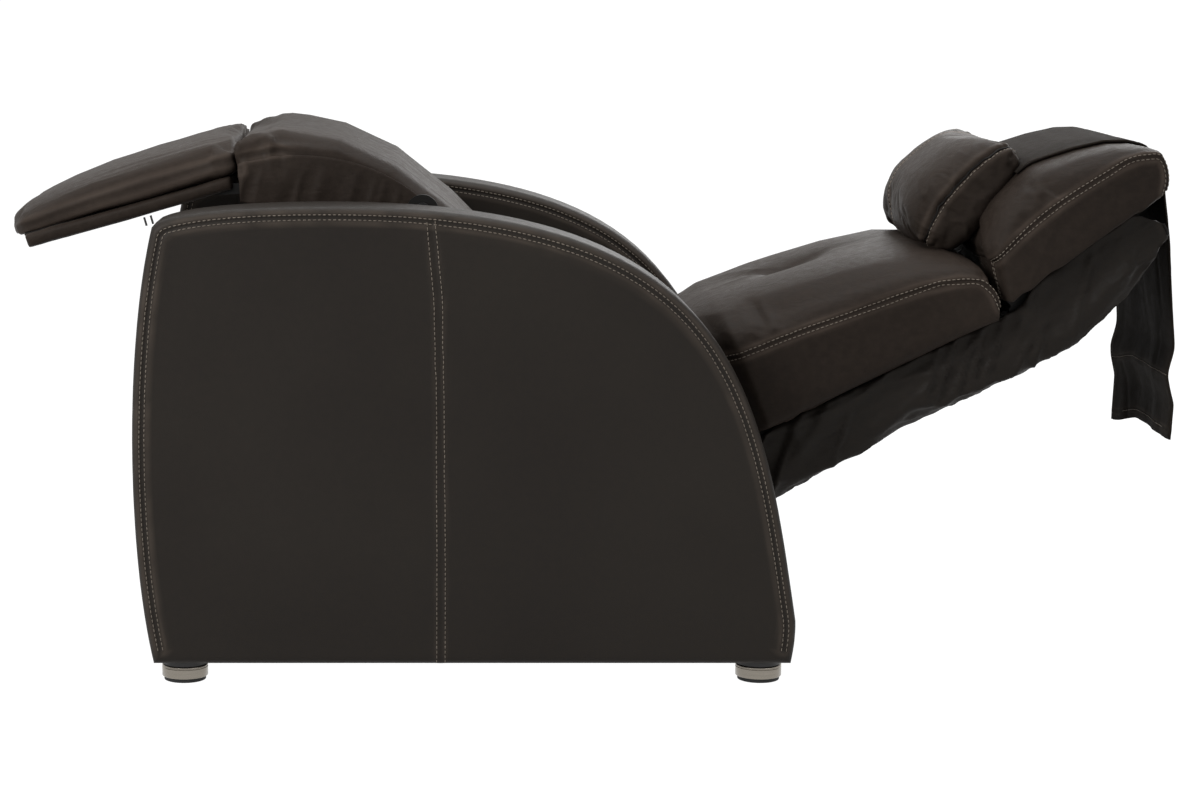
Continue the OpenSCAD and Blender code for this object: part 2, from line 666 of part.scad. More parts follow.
module back_hinge_pins() {
    color("silver") both_sides()
        hinge_pin(back_hinge, inner_lane[0], seat_lane[1]);
}

// ---- leg rest ----------------------------------------------------------
leg_pin_along = calf_len - leg_lever * cos(leg_lever_a - calf_angle);
board_p0 = -3;
leg_tube_r = 8;
leg_tube_a = 50;
calf_board_inset = 14;
module calf_local() { along(foot_hinge, calf_angle - 180) children(); }
module foot_local() { along(foot_hinge, foot_angle - 180) children(); }
function on_calf(a, p) = foot_hinge + a * [cos(calf_angle - 180), sin(calf_angle - 180)]
    + p * [-sin(calf_angle - 180), cos(calf_angle - 180)];
function on_foot(a, p) = foot_hinge + a * [cos(foot_angle - 180), sin(foot_angle - 180)]
    + p * [-sin(foot_angle - 180), cos(foot_angle - 180)];
module calf_frame() {
    tubes = [on_calf(leg_pin_along, board_p0 - leg_tube_r), on_calf(leg_tube_a, board_p0 - leg_tube_r)];
    color("#303134") {
        both_sides() slab(inner_lane[0], inner_lane[1]) difference() {
            bar2d(knee, foot_hinge, leg_bar_h / 2);
            translate(knee) circle(pin_fit_r);
            translate(foot_hinge) circle(pin_fit_r);
        }
        for (c = tubes) rod_y(c, leg_tube_r, -inner_lane[0], inner_lane[0]);
        lugs(leg_pin, on_calf(leg_pin_along, board_p0 - eye_r), leg_drive_y);
    }
    color("silver") lever_pin(leg_pin, leg_drive_y);
}
module calf_board() {
    board_y = inner_lane[0] - seat_fit;
    color("#b48a5a") calf_local()
        box(calf_board_inset, calf_len - calf_board_inset - 2, -board_y, board_y,
            board_p0 + seat_fit, board_p0 + calf_board_th);
}
module calf_cushion() {
    color("#38332f") pad(calf_pad_spec, 16, 26);
}
module calf_vibrators() {
    color("#26282b") calf_local()
        for (s = [-1, 1]) translate([calf_len / 2 - 10, s * vibrator_y, board_p0]) vibrator();
}
module foot_hinge_pins() {
    color("silver") both_sides()
        hinge_pin(foot_hinge, foot_lane[0], inner_lane[1]);
}
foot_bar_r = 9;
foot_bar_p = foot_board_p + foot_board_th / 2;
foot_bend_a = -60;
foot_notch_a = foot_bend_a - 12;
foot_board_end_a = -18;
foot_bar_len = 300;
foot_tube_r = 7;
module foot_frame() {
    color("#303134") {
        both_sides() slab(foot_lane[0], foot_lane[1]) difference() {
            union() {
                translate(foot_hinge) circle(foot_bar_r + 4);
                bar2d(foot_hinge, on_foot(foot_bend_a, foot_bar_p), foot_bar_r - 1);
                bar2d(on_foot(foot_bend_a, foot_bar_p), on_foot(-foot_bar_len, foot_bar_p), foot_bar_r);
            }
            translate(foot_hinge) circle(pin_fit_r);
        }
        for (a = [foot_bend_a, -foot_bar_len])
            rod_y(on_foot(a, foot_bar_p), foot_tube_r, -foot_lane[0], foot_lane[0]);
    }
}
module foot_board() {
    y = foot_half_w;
    edge_r = foot_board_th / 2;
    slot_r = foot_bar_r + seat_fit;
    color("#2b2725") foot_local() difference() {
        union() {
            box(-foot_len + edge_r, foot_board_end_a, -y, y, foot_board_p, foot_board_p + foot_board_th);
            translate([-foot_len + edge_r, -y, foot_board_p + edge_r]) rotate([-90, 0, 0])
                cylinder(r = edge_r, h = 2 * y);
        }
        both_sides() {
            box(foot_notch_a, 0, foot_lane[0] - 1, foot_lane[1] + 1, 0, foot_bar_p + foot_bar_r + 1);
            box(-foot_bar_len - slot_r - 1, foot_bend_a, foot_lane[0] - seat_fit, foot_lane[1] + seat_fit,
                foot_bar_p - slot_r, foot_bar_p + slot_r);
        }
        for (a = [foot_bend_a, -foot_bar_len]) translate([a, 0, foot_bar_p]) rotate([-90, 0, 0])
            cylinder(r = foot_tube_r + seat_fit, h = 2 * foot_lane[0], center = true);
    }
}
module foot_cushion() {
    color("#3b3632") pad(foot_pad_spec, 16, 26);
}
tail_len = 13;
tail_r = 1.6;
tail_inset = 5;
tail_as = [-152, -162];
module zip_tails() {
    color("#111111") foot_local() for (a = tail_as)
        translate([a, tail_inset - foot_half_w, foot_board_p - tail_len])
            cylinder(r = tail_r, h = tail_len, $fn = 16);
}

// ---- back --------------------------------------------------------------
module back_local() { along(back_hinge, back_pitch) children(); }
module head_local() { along(head_plane, head_pitch) children(); }
function on_head(a, p) = head_plane + a * [cos(head_pitch), sin(head_pitch)]
    + p * [-sin(head_pitch), cos(head_pitch)];
lower_tube_d = 24;
rail_start_a = 85;
back_lower = from_back(rail_start_a, back_p - 17);
rail_w = 22;
rail_y1 = cover_half_w - cover_th - 4;
rail_y0 = rail_y1 - rail_w;
rail_end_a = 596;
head_board_th = 12;
head_board_len = 226;
head_rail_r = 11;
head_board_a = 14;
head_rail_start = on_head(head_board_a + 2, -head_board_th - head_rail_r);
head_rail_end = on_head(head_board_len - 36, -head_board_th - head_rail_r);
roller_p = back_p - 35;
guide_p = back_p - 53;
back_arm_r = 19;
guide_y = 95;
end_bar_th = 14;
low_bar_a = 118;
high_bar_a = 576;
module end_bar(a) {
    box(a, a + end_bar_th, -rail_y0 - 4, rail_y0 + 4, guide_p - 12, back_p - 4);
}
module back_frame() {
    color("#303134") {
        both_sides() slab(inner_lane[0], inner_lane[1]) difference() {
            bar2d(back_hinge, back_lower, back_arm_r);
            translate(back_hinge) circle(pin_fit_r);
        }
        rod_y(back_lower, lower_tube_d / 2, -inner_lane[1], inner_lane[1]);
        difference() {
            back_local() {
                both_sides() box(rail_start_a, rail_end_a, rail_y0, rail_y1, back_p - back_rail_h, back_p);
                end_bar(low_bar_a);
                end_bar(high_bar_a);
            }
            back_local() {
                both_sides() rod_x(guide_d / 2 + run_fit, low_bar_a - 1, high_bar_a + end_bar_th + 1,
                    guide_y, guide_p);
                rod_x(screw_d / 2 + 2, low_bar_a - 1, high_bar_a + end_bar_th + 1, 0, screw_p);
            }
        }
        both_sides() slab(rail_y0, rail_y1) bar2d(head_rail_start, head_rail_end, head_rail_r);
        rod_y(head_rail_end, head_rail_r - 2, -rail_y0, rail_y0);
        lugs(back_pin, back_lower, back_drive_y);
    }
    color("silver") lever_pin(back_pin, back_drive_y);
}
module back_cushion() {
    color("#332f2b") pad(back_pad_spec, 26, 26);
}
module head_board() {
    color("#b48a5a") head_local()
        box(head_board_a, head_board_len, -rail_y1, rail_y1, -head_board_th, 0);
}
module head_cushion() {
    color("#35312d") pad(head_pad_spec, 16, 26);
}
// underside of the padded cover, from behind the seat to the top of the head
cover_low = [[208, 236], [264, 232], [380, 335], [553, 401]];
cover_high = [[553, 401], [650, 435], [790, 520], [848, 651]];
cover_steps = 12;
cover_lip = [838, 668];
cover_root = [236, 300];
cover_under_back = [586, 150];
cover_open_x = 180;
cover_open_z = 700;
module cover_outline() {
    polygon(concat(bezier_run(cover_low, cover_steps), bezier_run(cover_high, cover_steps),
        [cover_high[3], cover_lip, on_head(head_board_len + cover_th, -seat_fit),
            on_head(head_board_a - 4, -seat_fit)],
        [for (a = cover_under_back) from_back(a, back_p - seat_fit)], [cover_root]));
}
module cover_hollow() {
    polygon(concat([[cover_open_x, cover_low[0][1] + cover_th]],
        [for (c = [cover_low, cover_high], i = [0 : cover_steps - 1])
            bezier(c, i / cover_steps) + cover_th * left_of(bezier_way(c, i / cover_steps))],
        [on_head(head_board_len + 1, -head_board_th - 8), on_head(head_board_len + 1, 20),
            [cover_open_x, cover_open_z]]));
}
module back_cover() {
    color("#2c2926") difference() {
        slab(-cover_half_w, cover_half_w) cover_outline();
        slab(cover_th - cover_half_w, cover_half_w - cover_th) cover_hollow();
    }
}

// ---- massage mechanism -------------------------------------------------
screw_d = 12;
screw_p = guide_p;
carriage_a0 = 186;
carriage_len = 96;
carriage_y = 124;
carriage_p = [guide_p - 13, back_p - 12];
shaft_r = 6;
shaft_a = carriage_a0 + carriage_len / 2;
roller_ys = [-72, -34, 34, 72];
roller_w = 20;
roller_gap = 3;
roller_bay = [18, 86];
carriage_motor_r = 17;
shaft_end = 8;
module guide_rods() {
    color("#c4c6c8") back_local() both_sides()
        rod_x(guide_d / 2, low_bar_a, high_bar_a + end_bar_th, guide_y, guide_p);
}
module traverse_screw() {
    color("#a9abad") back_local() rod_x(screw_d / 2, low_bar_a, high_bar_a + end_bar_th + 4, 0, screw_p);
}
module traverse_motor() {
    a = high_bar_a + end_bar_th;
    color("#26282b") back_local() difference() {
        union() {
            box(a, a + 46, -20, 20, screw_p - 10, screw_p + 24);
            rod_x(14, a + 46, a + 54, 0, screw_p + 6);
        }
        rod_x(screw_d / 2 + run_fit, a - 1, a + 6, 0, screw_p);
    }
}
module massage_carriage() {
    color("#4a4d52") back_local() {
        difference() {
            box(carriage_a0, carriage_a0 + carriage_len, -carriage_y, carriage_y,
                carriage_p[0], carriage_p[1]);
            both_sides() rod_x(guide_d / 2 + run_fit, carriage_a0 - 1, carriage_a0 + carriage_len + 1,
                guide_y, guide_p);
            rod_x(screw_d / 2 + 0.4, carriage_a0 - 1, carriage_a0 + carriage_len + 1, 0, screw_p);
            translate([shaft_a, 0, roller_p]) rotate([-90, 0, 0])
                cylinder(r = shaft_r + run_fit, h = 2 * (carriage_y - shaft_end), center = true);
            both_sides() box(shaft_a - roller_d / 2 - roller_gap, shaft_a + roller_d / 2 + roller_gap,
                roller_bay[0], roller_bay[1], carriage_p[0] - hole_past, carriage_p[1] + hole_past);
        }
        // the motor that shakes the rollers, and its bracket
        translate([carriage_a0 - carriage_motor_r - 5, -roller_bay[1], guide_p + 8]) rotate([-90, 0, 0])
            cylinder(r = carriage_motor_r, h = roller_bay[1] - roller_bay[0]);
        box(carriage_a0 - 20, carriage_a0 + 2, 8 - roller_bay[1], -8 - roller_bay[0],
            guide_p - 8, guide_p + 22);
    }
}
module massage_rollers() {
    color("#8c6f4e") back_local() {
        translate([shaft_a, 0, roller_p]) rotate([-90, 0, 0])
            cylinder(r = shaft_r, h = 2 * (carriage_y - shaft_end) - 4, center = true);
        for (y = roller_ys) translate([shaft_a, y - roller_w / 2, roller_p]) rotate([-90, 0, 0])
            cylinder(d = roller_d, h = roller_w);
    }
}

// ---- pillow and drape --------------------------------------------------
module neck_pillow() {
    color("#322e2a") pad(pillow_spec, 14, 28);
}
drape_ts = [0.4, 0.47, 0.54, 0.61, 0.68, 0.75, 0.82, 0.89];
seam_t = 0.9;
drape_cols = 10;
drape_x = 860;
head_top = 795;
drape_rows = 11;
fold = 5;
drape_gap = 1.2;
// a point of the drape's inner face: first over the head cushion, then over its end and down
function over_head(t, y) = pad_place(head_pad_spec, t, y, crown_at(head_pad_spec, t, y) + drape_gap);
function hang(q, y) = let(drop = q * drape_drop, low = q * fold)
    [drape_x + 6 * q + low * sin(y * 1.4 + 30), y * (1 - 0.02 * q), head_top - drop];
shoulder = [[838, 762], [852, 728]];
// the edge that is sewn along the back of the pillow
function pillow_edge(y) = let(e = pad_place(pillow_spec, seam_t, 0,
    -seat_fit - drape_th - pad_shrink(pillow_spec, seam_t) * lookup(seam_t, pillow_spec[3]))) [e[0], y, e[2]];
function drape_inner() = concat([[for (j = [0 : drape_cols]) pillow_edge(drape_y(j))]],
    [for (t = drape_ts) [for (j = [0 : drape_cols]) over_head(t, drape_y(j))]],
    [for (c = shoulder) [for (j = [0 : drape_cols]) [c[0], drape_y(j), c[1]]]],
    [for (i = [2 : drape_rows]) [for (j = [0 : drape_cols]) hang(i / drape_rows, drape_y(j))]]);
function drape_y(j) = -drape_half_w + 2 * drape_half_w * j / drape_cols;
// outward way of a row, from the rows before and after it
function row_way(g, i, j) = let(a = g[max(0, i - 1)][j], b = g[min(len(g) - 1, i + 1)][j],
    d = unit([b[0] - a[0], b[2] - a[2]])) [-d[1], 0, d[0]];
function row_th(g, i, j) = g[i][j][2] < head_top - drape_drop + pocket_h - 8
    ? drape_th + 5 * sin(180 * j / drape_cols) : drape_th;
function drape_outer(g) = [for (i = [0 : len(g) - 1]) [for (j = [0 : drape_cols])
    g[i][j] + row_th(g, i, j) * row_way(g, i, j)]];
module pillow_drape() {
    inner = drape_inner();
    outer = drape_outer(inner);
    rows = len(inner);
    cols = drape_cols + 1;
    total = rows * cols;
    strip = function (a, b, c, d) [[a, b, c], [a, c, d]];
    faces = concat(
        [for (i = [0 : rows - 2], j = [0 : cols - 2]) let(a = i * cols + j)
            each strip(a, a + cols, a + cols + 1, a + 1)],
        [for (i = [0 : rows - 2], j = [0 : cols - 2]) let(a = total + i * cols + j)
            each strip(a, a + 1, a + cols + 1, a + cols)],
        [for (j = [0 : cols - 2]) each strip(j, j + 1, total + j + 1, total + j)],
        [for (j = [0 : cols - 2]) let(a = (rows - 1) * cols + j)
            each strip(a, total + a, total + a + 1, a + 1)],
        [for (i = [0 : rows - 2]) let(a = i * cols)
            each strip(a, total + a, total + a + cols, a + cols)],
        [for (i = [0 : rows - 2]) let(a = i * cols + cols - 1)
            each strip(a, a + cols, total + a + cols, total + a)]);
    color("#2a2623") polyhedron(points = [for (g = [inner, outer], row = g, p = row) p], faces = faces);
}

// ---- hand controls -----------------------------------------------------
control_x = -400;
control_drop = 74;
control_z = arm_top - control_drop;
control_rim = 9;
button_flange = 1.6;
button_fit = 0.25;
plate_face = 2;
button_row = (len(BUTTONS) - 1) * button_pitch;
pocket_depth = 10;
module control_outline(margin) {
    bar2d([control_x - button_row / 2, control_z], [control_x + button_row / 2, control_z],
        button_d / 2 + margin);
}
module control_pocket() {
    slab(arm_out - pocket_depth, arm_out + hole_past) control_outline(button_flange + 1.9);
}
function button_at(i) = [control_x - button_row / 2 + i * button_pitch, control_z];
module control_plate() {
    color("#1b1b1c") slab(arm_out, arm_out + plate_face) difference() {
        control_outline(control_rim);
        for (i = [0 : len(BUTTONS) - 1]) translate(button_at(i)) circle(button_d / 2 + button_fit);
    }
}
module button(i) {
    color("#8f9296") {
        rod_y(button_at(i), button_d / 2, arm_out - 4, arm_out + plate_face + button_proud);
        rod_y(button_at(i), button_d / 2 + button_flange, arm_out - 1.8, arm_out - 0.1);
    }
}

arm_frame(-1);  // arm_frame_left
arm_frame(1);  // arm_frame_right
arm_cover(-1);  // arm_cover_left
arm_cover(1);  // arm_cover_right
foot_collars();
foot_rings();
foot_pads();
foot_studs();
crossbar(bar_xs[0]);  // front_crossbar
middle_crossbar();
crossbar(bar_xs[2]);  // rear_crossbar
crossbar_bolts();
pivot_axle(-1);  // pivot_axle_left
pivot_axle(1);  // pivot_axle_right
front_panel();
rear_panel();
power_supply();
control_box();
mains_inlet();
tilt_actuator_body();
control_plate();
button(0);  // button_recline
button(1);  // button_upright
button(2);  // button_legs_up
button(3);  // button_legs_down
button(4);  // button_massage
button(5);  // button_heat
seat_frame();
pivot_bushes();
seat_deck();
seat_cushion();
seat_vibrators();
knee_pins();
back_hinge_pins();
leg_actuator_body();
back_actuator_body();
tilt_actuator_rod();
leg_actuator_rod();
back_actuator_rod();
calf_frame();
calf_board();
calf_cushion();
calf_vibrators();
foot_hinge_pins();
foot_frame();
foot_board();
foot_cushion();
zip_tails();
back_frame();
back_cushion();
head_board();
head_cushion();
back_cover();
guide_rods();
traverse_screw();
traverse_motor();
massage_carriage();
massage_rollers();
neck_pillow();
pillow_drape();
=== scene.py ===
# %% [markdown]
# # A reclining massage chair in dark brown leather
# The chair's frame, hinges, motors and boards come in as finished solids that already move.
# This lesson dresses them: every cushion gets its leather, its seams and its wrinkles, and every
# bare part gets the surface of what it is made of. All lengths are in metres unless a name ends
# in mm; X runs from the feet to the head, Y across the chair and Z up.

# %% Load the frame
import math
import bmesh
import bpy
import numpy as np
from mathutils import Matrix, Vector
from mathutils.bvhtree import BVHTree


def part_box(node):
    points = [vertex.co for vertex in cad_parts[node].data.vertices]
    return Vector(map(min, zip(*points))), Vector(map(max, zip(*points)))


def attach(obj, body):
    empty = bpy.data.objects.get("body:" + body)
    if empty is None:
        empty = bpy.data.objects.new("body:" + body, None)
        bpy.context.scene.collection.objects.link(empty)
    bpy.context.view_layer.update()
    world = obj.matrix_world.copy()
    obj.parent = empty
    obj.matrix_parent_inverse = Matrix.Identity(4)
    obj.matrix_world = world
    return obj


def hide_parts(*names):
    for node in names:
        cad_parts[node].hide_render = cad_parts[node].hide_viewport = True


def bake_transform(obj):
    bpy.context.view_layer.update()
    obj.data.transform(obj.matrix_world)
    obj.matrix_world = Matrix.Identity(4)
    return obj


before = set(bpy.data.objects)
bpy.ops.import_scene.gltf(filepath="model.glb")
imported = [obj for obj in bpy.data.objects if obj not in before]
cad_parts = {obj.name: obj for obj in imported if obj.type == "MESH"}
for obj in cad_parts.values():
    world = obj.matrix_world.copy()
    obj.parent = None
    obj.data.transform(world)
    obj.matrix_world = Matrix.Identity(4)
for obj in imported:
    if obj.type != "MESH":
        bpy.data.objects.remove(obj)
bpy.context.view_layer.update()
scene = bpy.context.scene
MM = 0.001

# %% [markdown]
# ## The camera
# A long lens far away keeps the side of the chair almost flat. The lens points straight at the
# chair's foot half, and a sideways shift brings the head half into the picture without turning
# the camera, so that upright lines stay upright.

# %% Camera
scene.view_settings.view_transform = "Standard"
lens = bpy.data.cameras.new("camera")
lens.sensor_width = 36
lens.lens = 89.17
lens.shift_x = 1 / 6
camera = bpy.data.objects.new("camera", lens)
camera.location = (-0.295, -4.63, 1.07)
camera.rotation_euler = (math.radians(81.391), 0, 0)
scene.collection.objects.link(camera)
scene.camera = camera
print("camera with a", round(lens.lens), "mm lens")

# %% [markdown]
# ## A helper for materials
# A material is a small graph of nodes. This helper makes one node, sets its own values, and
# fills its sockets: a plain number stays on the socket, and another node's output is linked.


# %% Node helper
def node(tree, kind, sockets=None, **settings):
    made = tree.nodes.new(kind)
    for key, value in settings.items():
        setattr(made, key, value)
    for key, value in (sockets or {}).items():
        if isinstance(value, bpy.types.NodeSocket):
            tree.links.new(value, made.inputs[key])
        else:
            made.inputs[key].default_value = value
    return made


def ways_that_see_white(tree):
    """1 for rays that come from the camera, from a gloss or through glass."""
    path = node(tree, "ShaderNodeLightPath").outputs
    gloss = node(tree, "ShaderNodeMath", {0: path["Is Camera Ray"], 1: path["Is Glossy Ray"]},
                 operation="MAXIMUM")
    return node(tree, "ShaderNodeMath", {0: gloss.outputs[0], 1: path["Is Transmission Ray"]},
                operation="MAXIMUM").outputs[0]


print("node helper ready")

# %% [markdown]
# ## Studio
# The room is white to the camera and grey to the leather, so the background stays clean while
# the lamps do the modelling. The floor mixes a glow, which only the camera and reflections see,
# with plain white, which takes the chair's soft shadow.

# %% World, floor and lamps
AMBIENT = 0.26
world = bpy.data.worlds.new("white room")
scene.world = world
world.use_nodes = True
world.node_tree.nodes.clear()
seen = ways_that_see_white(world.node_tree)
dim = node(world.node_tree, "ShaderNodeBackground", {"Color": (1, 1, 1, 1), "Strength": AMBIENT})
bright = node(world.node_tree, "ShaderNodeBackground", {"Color": (1, 1, 1, 1), "Strength": 1.0})
room = node(world.node_tree, "ShaderNodeMixShader",
            {0: seen, 1: dim.outputs[0], 2: bright.outputs[0]})
node(world.node_tree, "ShaderNodeOutputWorld", {"Surface": room.outputs[0]})

floor_paint = bpy.data.materials.new("studio floor")
floor_paint.use_nodes = True
tree = floor_paint.node_tree
tree.nodes.clear()
glow = node(tree, "ShaderNodeEmission", {"Color": (1, 1, 1, 1), "Strength": 1.42})
matt = node(tree, "ShaderNodeBsdfDiffuse", {"Color": (0.45, 0.45, 0.45, 1)})
share = node(tree, "ShaderNodeMath", {0: ways_that_see_white(tree), 1: 0.72}, operation="MULTIPLY")
both = node(tree, "ShaderNodeMixShader", {0: share.outputs[0], 1: matt.outputs[0], 2: glow.outputs[0]})
node(tree, "ShaderNodeOutputMaterial", {"Surface": both.outputs[0]})
floor_mesh = bpy.data.meshes.new("studio_floor")
floor_mesh.from_pydata([(-40, -12, 0), (40, -12, 0), (40, 90, 0), (-40, 90, 0)], [], [(0, 1, 2, 3)])
floor = bpy.data.objects.new("studio_floor", floor_mesh)
floor_mesh.materials.append(floor_paint)
scene.collection.objects.link(floor)


def softbox(name, place, aim, size, watts):
    data = bpy.data.lights.new(name, "AREA")
    data.shape = "RECTANGLE"
    data.size, data.size_y = size
    data.energy = watts
    lamp = bpy.data.objects.new(name, data)
    lamp.location = place
    lamp.rotation_euler = (Vector(aim) - Vector(place)).to_track_quat("-Z", "Y").to_euler()
    scene.collection.objects.link(lamp)


softbox("key", (-2.6, -2.4, 2.3), (-0.3, 0, 0.55), (1.4, 1.4), 78)
softbox("top", (0.1, 0.3, 3.0), (0, 0, 0.5), (2.6, 1.6), 44)
softbox("fill", (2.8, -3.0, 1.8), (0.4, 0, 0.6), (2.0, 2.0), 16)
softbox("rear", (1.6, 3.0, 2.2), (0, 0, 0.5), (2.4, 1.6), 40)
print("white room, floor and 4 softboxes")

# %% [markdown]
# ## Parts of a material
# Every surface starts from the same few moves: an empty shader, soft noise, a mix of two colours,
# a change of range and a bump. Colours are given as screen levels.


# %% Material helpers
def material(name, rough, metallic=0.0, **sockets):
    """A node material with an empty Principled shader; returns material, tree, shader, place."""
    made = bpy.data.materials.new(name)
    made.use_nodes = True
    tree = made.node_tree
    tree.nodes.clear()
    shader = node(tree, "ShaderNodeBsdfPrincipled", {"Roughness": rough, "Metallic": metallic})
    for key, value in sockets.items():
        shader.inputs[key.replace("_", " ")].default_value = value
    node(tree, "ShaderNodeOutputMaterial", {"Surface": shader.outputs[0]})
    place = node(tree, "ShaderNodeTexCoord").outputs["Object"]
    return made, tree, shader, place


def srgb(*levels):
    """A colour given as 0 to 255 screen levels, as the linear numbers a shader takes."""
    return tuple((v / 255 / 12.92 if v < 10.3 else ((v / 255 + 0.055) / 1.055) ** 2.4)
                 for v in levels) + (1,)


def clouds(tree, place, scale, detail=3.0, stretch=None, distortion=0.0):
    """Soft noise between 0 and 1, optionally stretched along the axes."""
    if stretch:
        place = node(tree, "ShaderNodeMapping", {"Vector": place, "Scale": stretch}).outputs[0]
    return node(tree, "ShaderNodeTexNoise", {"Vector": place, "Scale": scale, "Detail": detail,
                                             "Distortion": distortion}).outputs["Fac"]


def blend_colour(tree, factor, first, second):
    return node(tree, "ShaderNodeMix", {0: factor, 6: first, 7: second},
                data_type="RGBA").outputs[2]


def span(tree, value, low, high, to_low, to_high):
    return node(tree, "ShaderNodeMapRange", {0: value, 1: low, 2: high, 3: to_low, 4: to_high}).outputs[0]


def bump(tree, height, strength, distance, under=None):
    sockets = {"Height": height, "Strength": strength, "Distance": distance}
    if under is not None:
        sockets["Normal"] = under
    return node(tree, "ShaderNodeBump", sockets).outputs[0]


print("material helpers ready")

# %% [markdown]
# ## Leather
# The chair wears smooth coated leather: a tone that drifts a little, a pebbled grain with cells
# about a millimetre wide, and fine creases. A mesh may carry a number that is high on the ridges
# beside seams and edges, where the colour is painted lighter: partly coat rubbed off, partly a
# painted highlight. The grain reads the object's own coordinates, so it sits still on the leather
# whatever the camera does.


# %% Leathers
def leather(name, dark, light, worn_and_highlight, rough=0.5, crease=0.5, gloss=0.1):
    made, tree, shader, place = material(name, rough, Specular_IOR_Level=gloss)
    drift = clouds(tree, place, 3.1, 4)
    fine = clouds(tree, place, 90, 5)
    tone = blend_colour(tree, span(tree, drift, 0.3, 0.7, 0, 1), dark, light)
    tone = blend_colour(tree, span(tree, fine, 0.35, 0.75, 0, 0.03 + 0.15 * crease), tone, worn_and_highlight)
    # the ridges beside seams are painted lighter here: rubbed coat and a painted highlight
    wear_and_highlight = node(tree, "ShaderNodeAttribute", attribute_name="wear_and_highlight").outputs["Fac"]
    tone = blend_colour(tree, wear_and_highlight, tone, worn_and_highlight)
    tree.links.new(tone, shader.inputs["Base Color"])
    tree.links.new(span(tree, fine, 0.3, 0.7, rough - 0.05, rough + 0.07), shader.inputs["Roughness"])
    cells = node(tree, "ShaderNodeTexVoronoi", {"Vector": place, "Scale": 640.0},
                 feature="DISTANCE_TO_EDGE").outputs["Distance"]
    pebbles = span(tree, cells, 0.0, 0.35, 0, 1)
    surface = bump(tree, pebbles, 0.22, 0.0003)
    folds = clouds(tree, place, 26, 9, (1, 1, 2.2), 1.2)
    surface = bump(tree, folds, 0.04 + 0.45 * crease, 0.004, surface)
    tree.links.new(surface, shader.inputs["Normal"])
    return made


# each leather's third colour is the lighter tone of rubbed coat and of the painted highlight on seam ridges
panel_leather = leather("panel leather", srgb(34, 30, 27), srgb(41, 37, 33), srgb(86, 77, 69),
                        rough=0.5, crease=0.04, gloss=0.14)
cushion_leather = leather("cushion leather", srgb(38, 32, 28), srgb(48, 41, 36), srgb(90, 79, 71),
                          rough=0.52, crease=0.5, gloss=0.07)
cover_leather = leather("cover leather", srgb(30, 27, 24), srgb(38, 34, 31), srgb(66, 59, 52),
                        rough=0.52, crease=0.6, gloss=0.1)
drape_leather = leather("drape leather", srgb(33, 30, 27), srgb(41, 37, 34), srgb(66, 59, 53),
                        rough=0.7, crease=0.08, gloss=0.015)
thread = leather("waxed thread", srgb(124, 115, 105), srgb(146, 136, 124), srgb(160, 150, 138), 0.6, 0.2)
piping_leather = leather("piping leather", srgb(14, 12, 11), srgb(20, 17, 15), srgb(46, 41, 37), 0.5, 0.2)
print("6 leathers")

# %% [markdown]
# ## How a pad is drawn
# A cushion is sketched as a curve down its middle. Tables say how wide it is, how high its crown
# stands and how deep it reaches at each place along that curve. Rings of points round the curve
# then make the skin. Each ring's points are spread evenly along its outline, so that the cloth
# solver later sees squares of one size everywhere.


# %% Curves
def curve_part(line, t):
    """How far along its own curve each t lies, and the four points of that curve."""
    parts = np.asarray(line, float).reshape(-1, 4, 2)
    t = np.asarray(t, float) * len(parts)
    k = np.minimum(t.astype(int), len(parts) - 1)
    return (t - k)[:, None], parts[k]


def bezier(line, t):
    """Points on a chain of cubic Bezier curves; t runs from 0 to 1 over the whole chain."""
    u, p = curve_part(line, t)
    return ((1 - u) ** 3 * p[:, 0] + 3 * (1 - u) ** 2 * u * p[:, 1]
            + 3 * (1 - u) * u * u * p[:, 2] + u ** 3 * p[:, 3])


def bezier_way(line, t):
    """Unit directions along the same chain."""
    u, p = curve_part(line, t)
    way = ((1 - u) ** 2 * (p[:, 1] - p[:, 0]) + 2 * (1 - u) * u * (p[:, 2] - p[:, 1])
           + u * u * (p[:, 3] - p[:, 2]))
    return way / np.linalg.norm(way, axis=1)[:, None]


def slope(points):
    """Unit directions along a row of points."""
    way = np.gradient(np.asarray(points, float), axis=0)
    return way / np.linalg.norm(way, axis=1)[:, None]


def leftward(way):
    return np.stack([-way[:, 1], way[:, 0]], axis=1)


print("curve helpers ready")

# %% [markdown]
# ## Tables and even paths
# A table of places and sizes is read between its rows. A path is spaced afresh so that its points
# lie evenly, which the sewing and the cloth below rely on.


# %% Tables and paths
def look_up(table, t):
    table = np.asarray(table, float)
    return np.interp(t, table[:, 0], table[:, 1])


def fade(value, low, high):
    """0 at low, 1 at high, smooth between."""
    x = np.clip((np.asarray(value, float) - low) / (high - low), 0, 1)
    return x * x * (3 - 2 * x)


def end_round(roundness, t):
    return np.maximum(0, 1 - np.abs(2 * t - 1) ** (2 / roundness)) ** (roundness / 2)


def lengths_along(points):
    steps = np.linalg.norm(np.diff(points, axis=0), axis=1)
    return np.concatenate([[0], np.cumsum(steps)])


def even_points(points, count=None, step=None):
    """The same path with its points spread evenly."""
    points = np.asarray(points, float)
    run = lengths_along(points)
    if count is None:
        count = max(2, int(round(run[-1] / step)) + 1)
    marks = np.linspace(0, run[-1], count)
    return np.stack([np.interp(marks, run, points[:, k]) for k in range(points.shape[1])], axis=1)


def rounded_path(points, count, passes=6):
    """An even path through a few points, with its corners eased."""
    path = even_points(points, count)
    for _ in range(passes):
        path[1:-1] = (path[:-2] + 2 * path[1:-1] + path[2:]) / 4
    return path


print("table helpers ready")

# %% [markdown]
# ## The skin of a pad
# A pad's rings stand across its middle curve. Above the curve they reach as far as the crown,
# below it as far as the board. Close to its sides the underside may hang lower, in a lip.

# %% Pad
LIP = 5.0


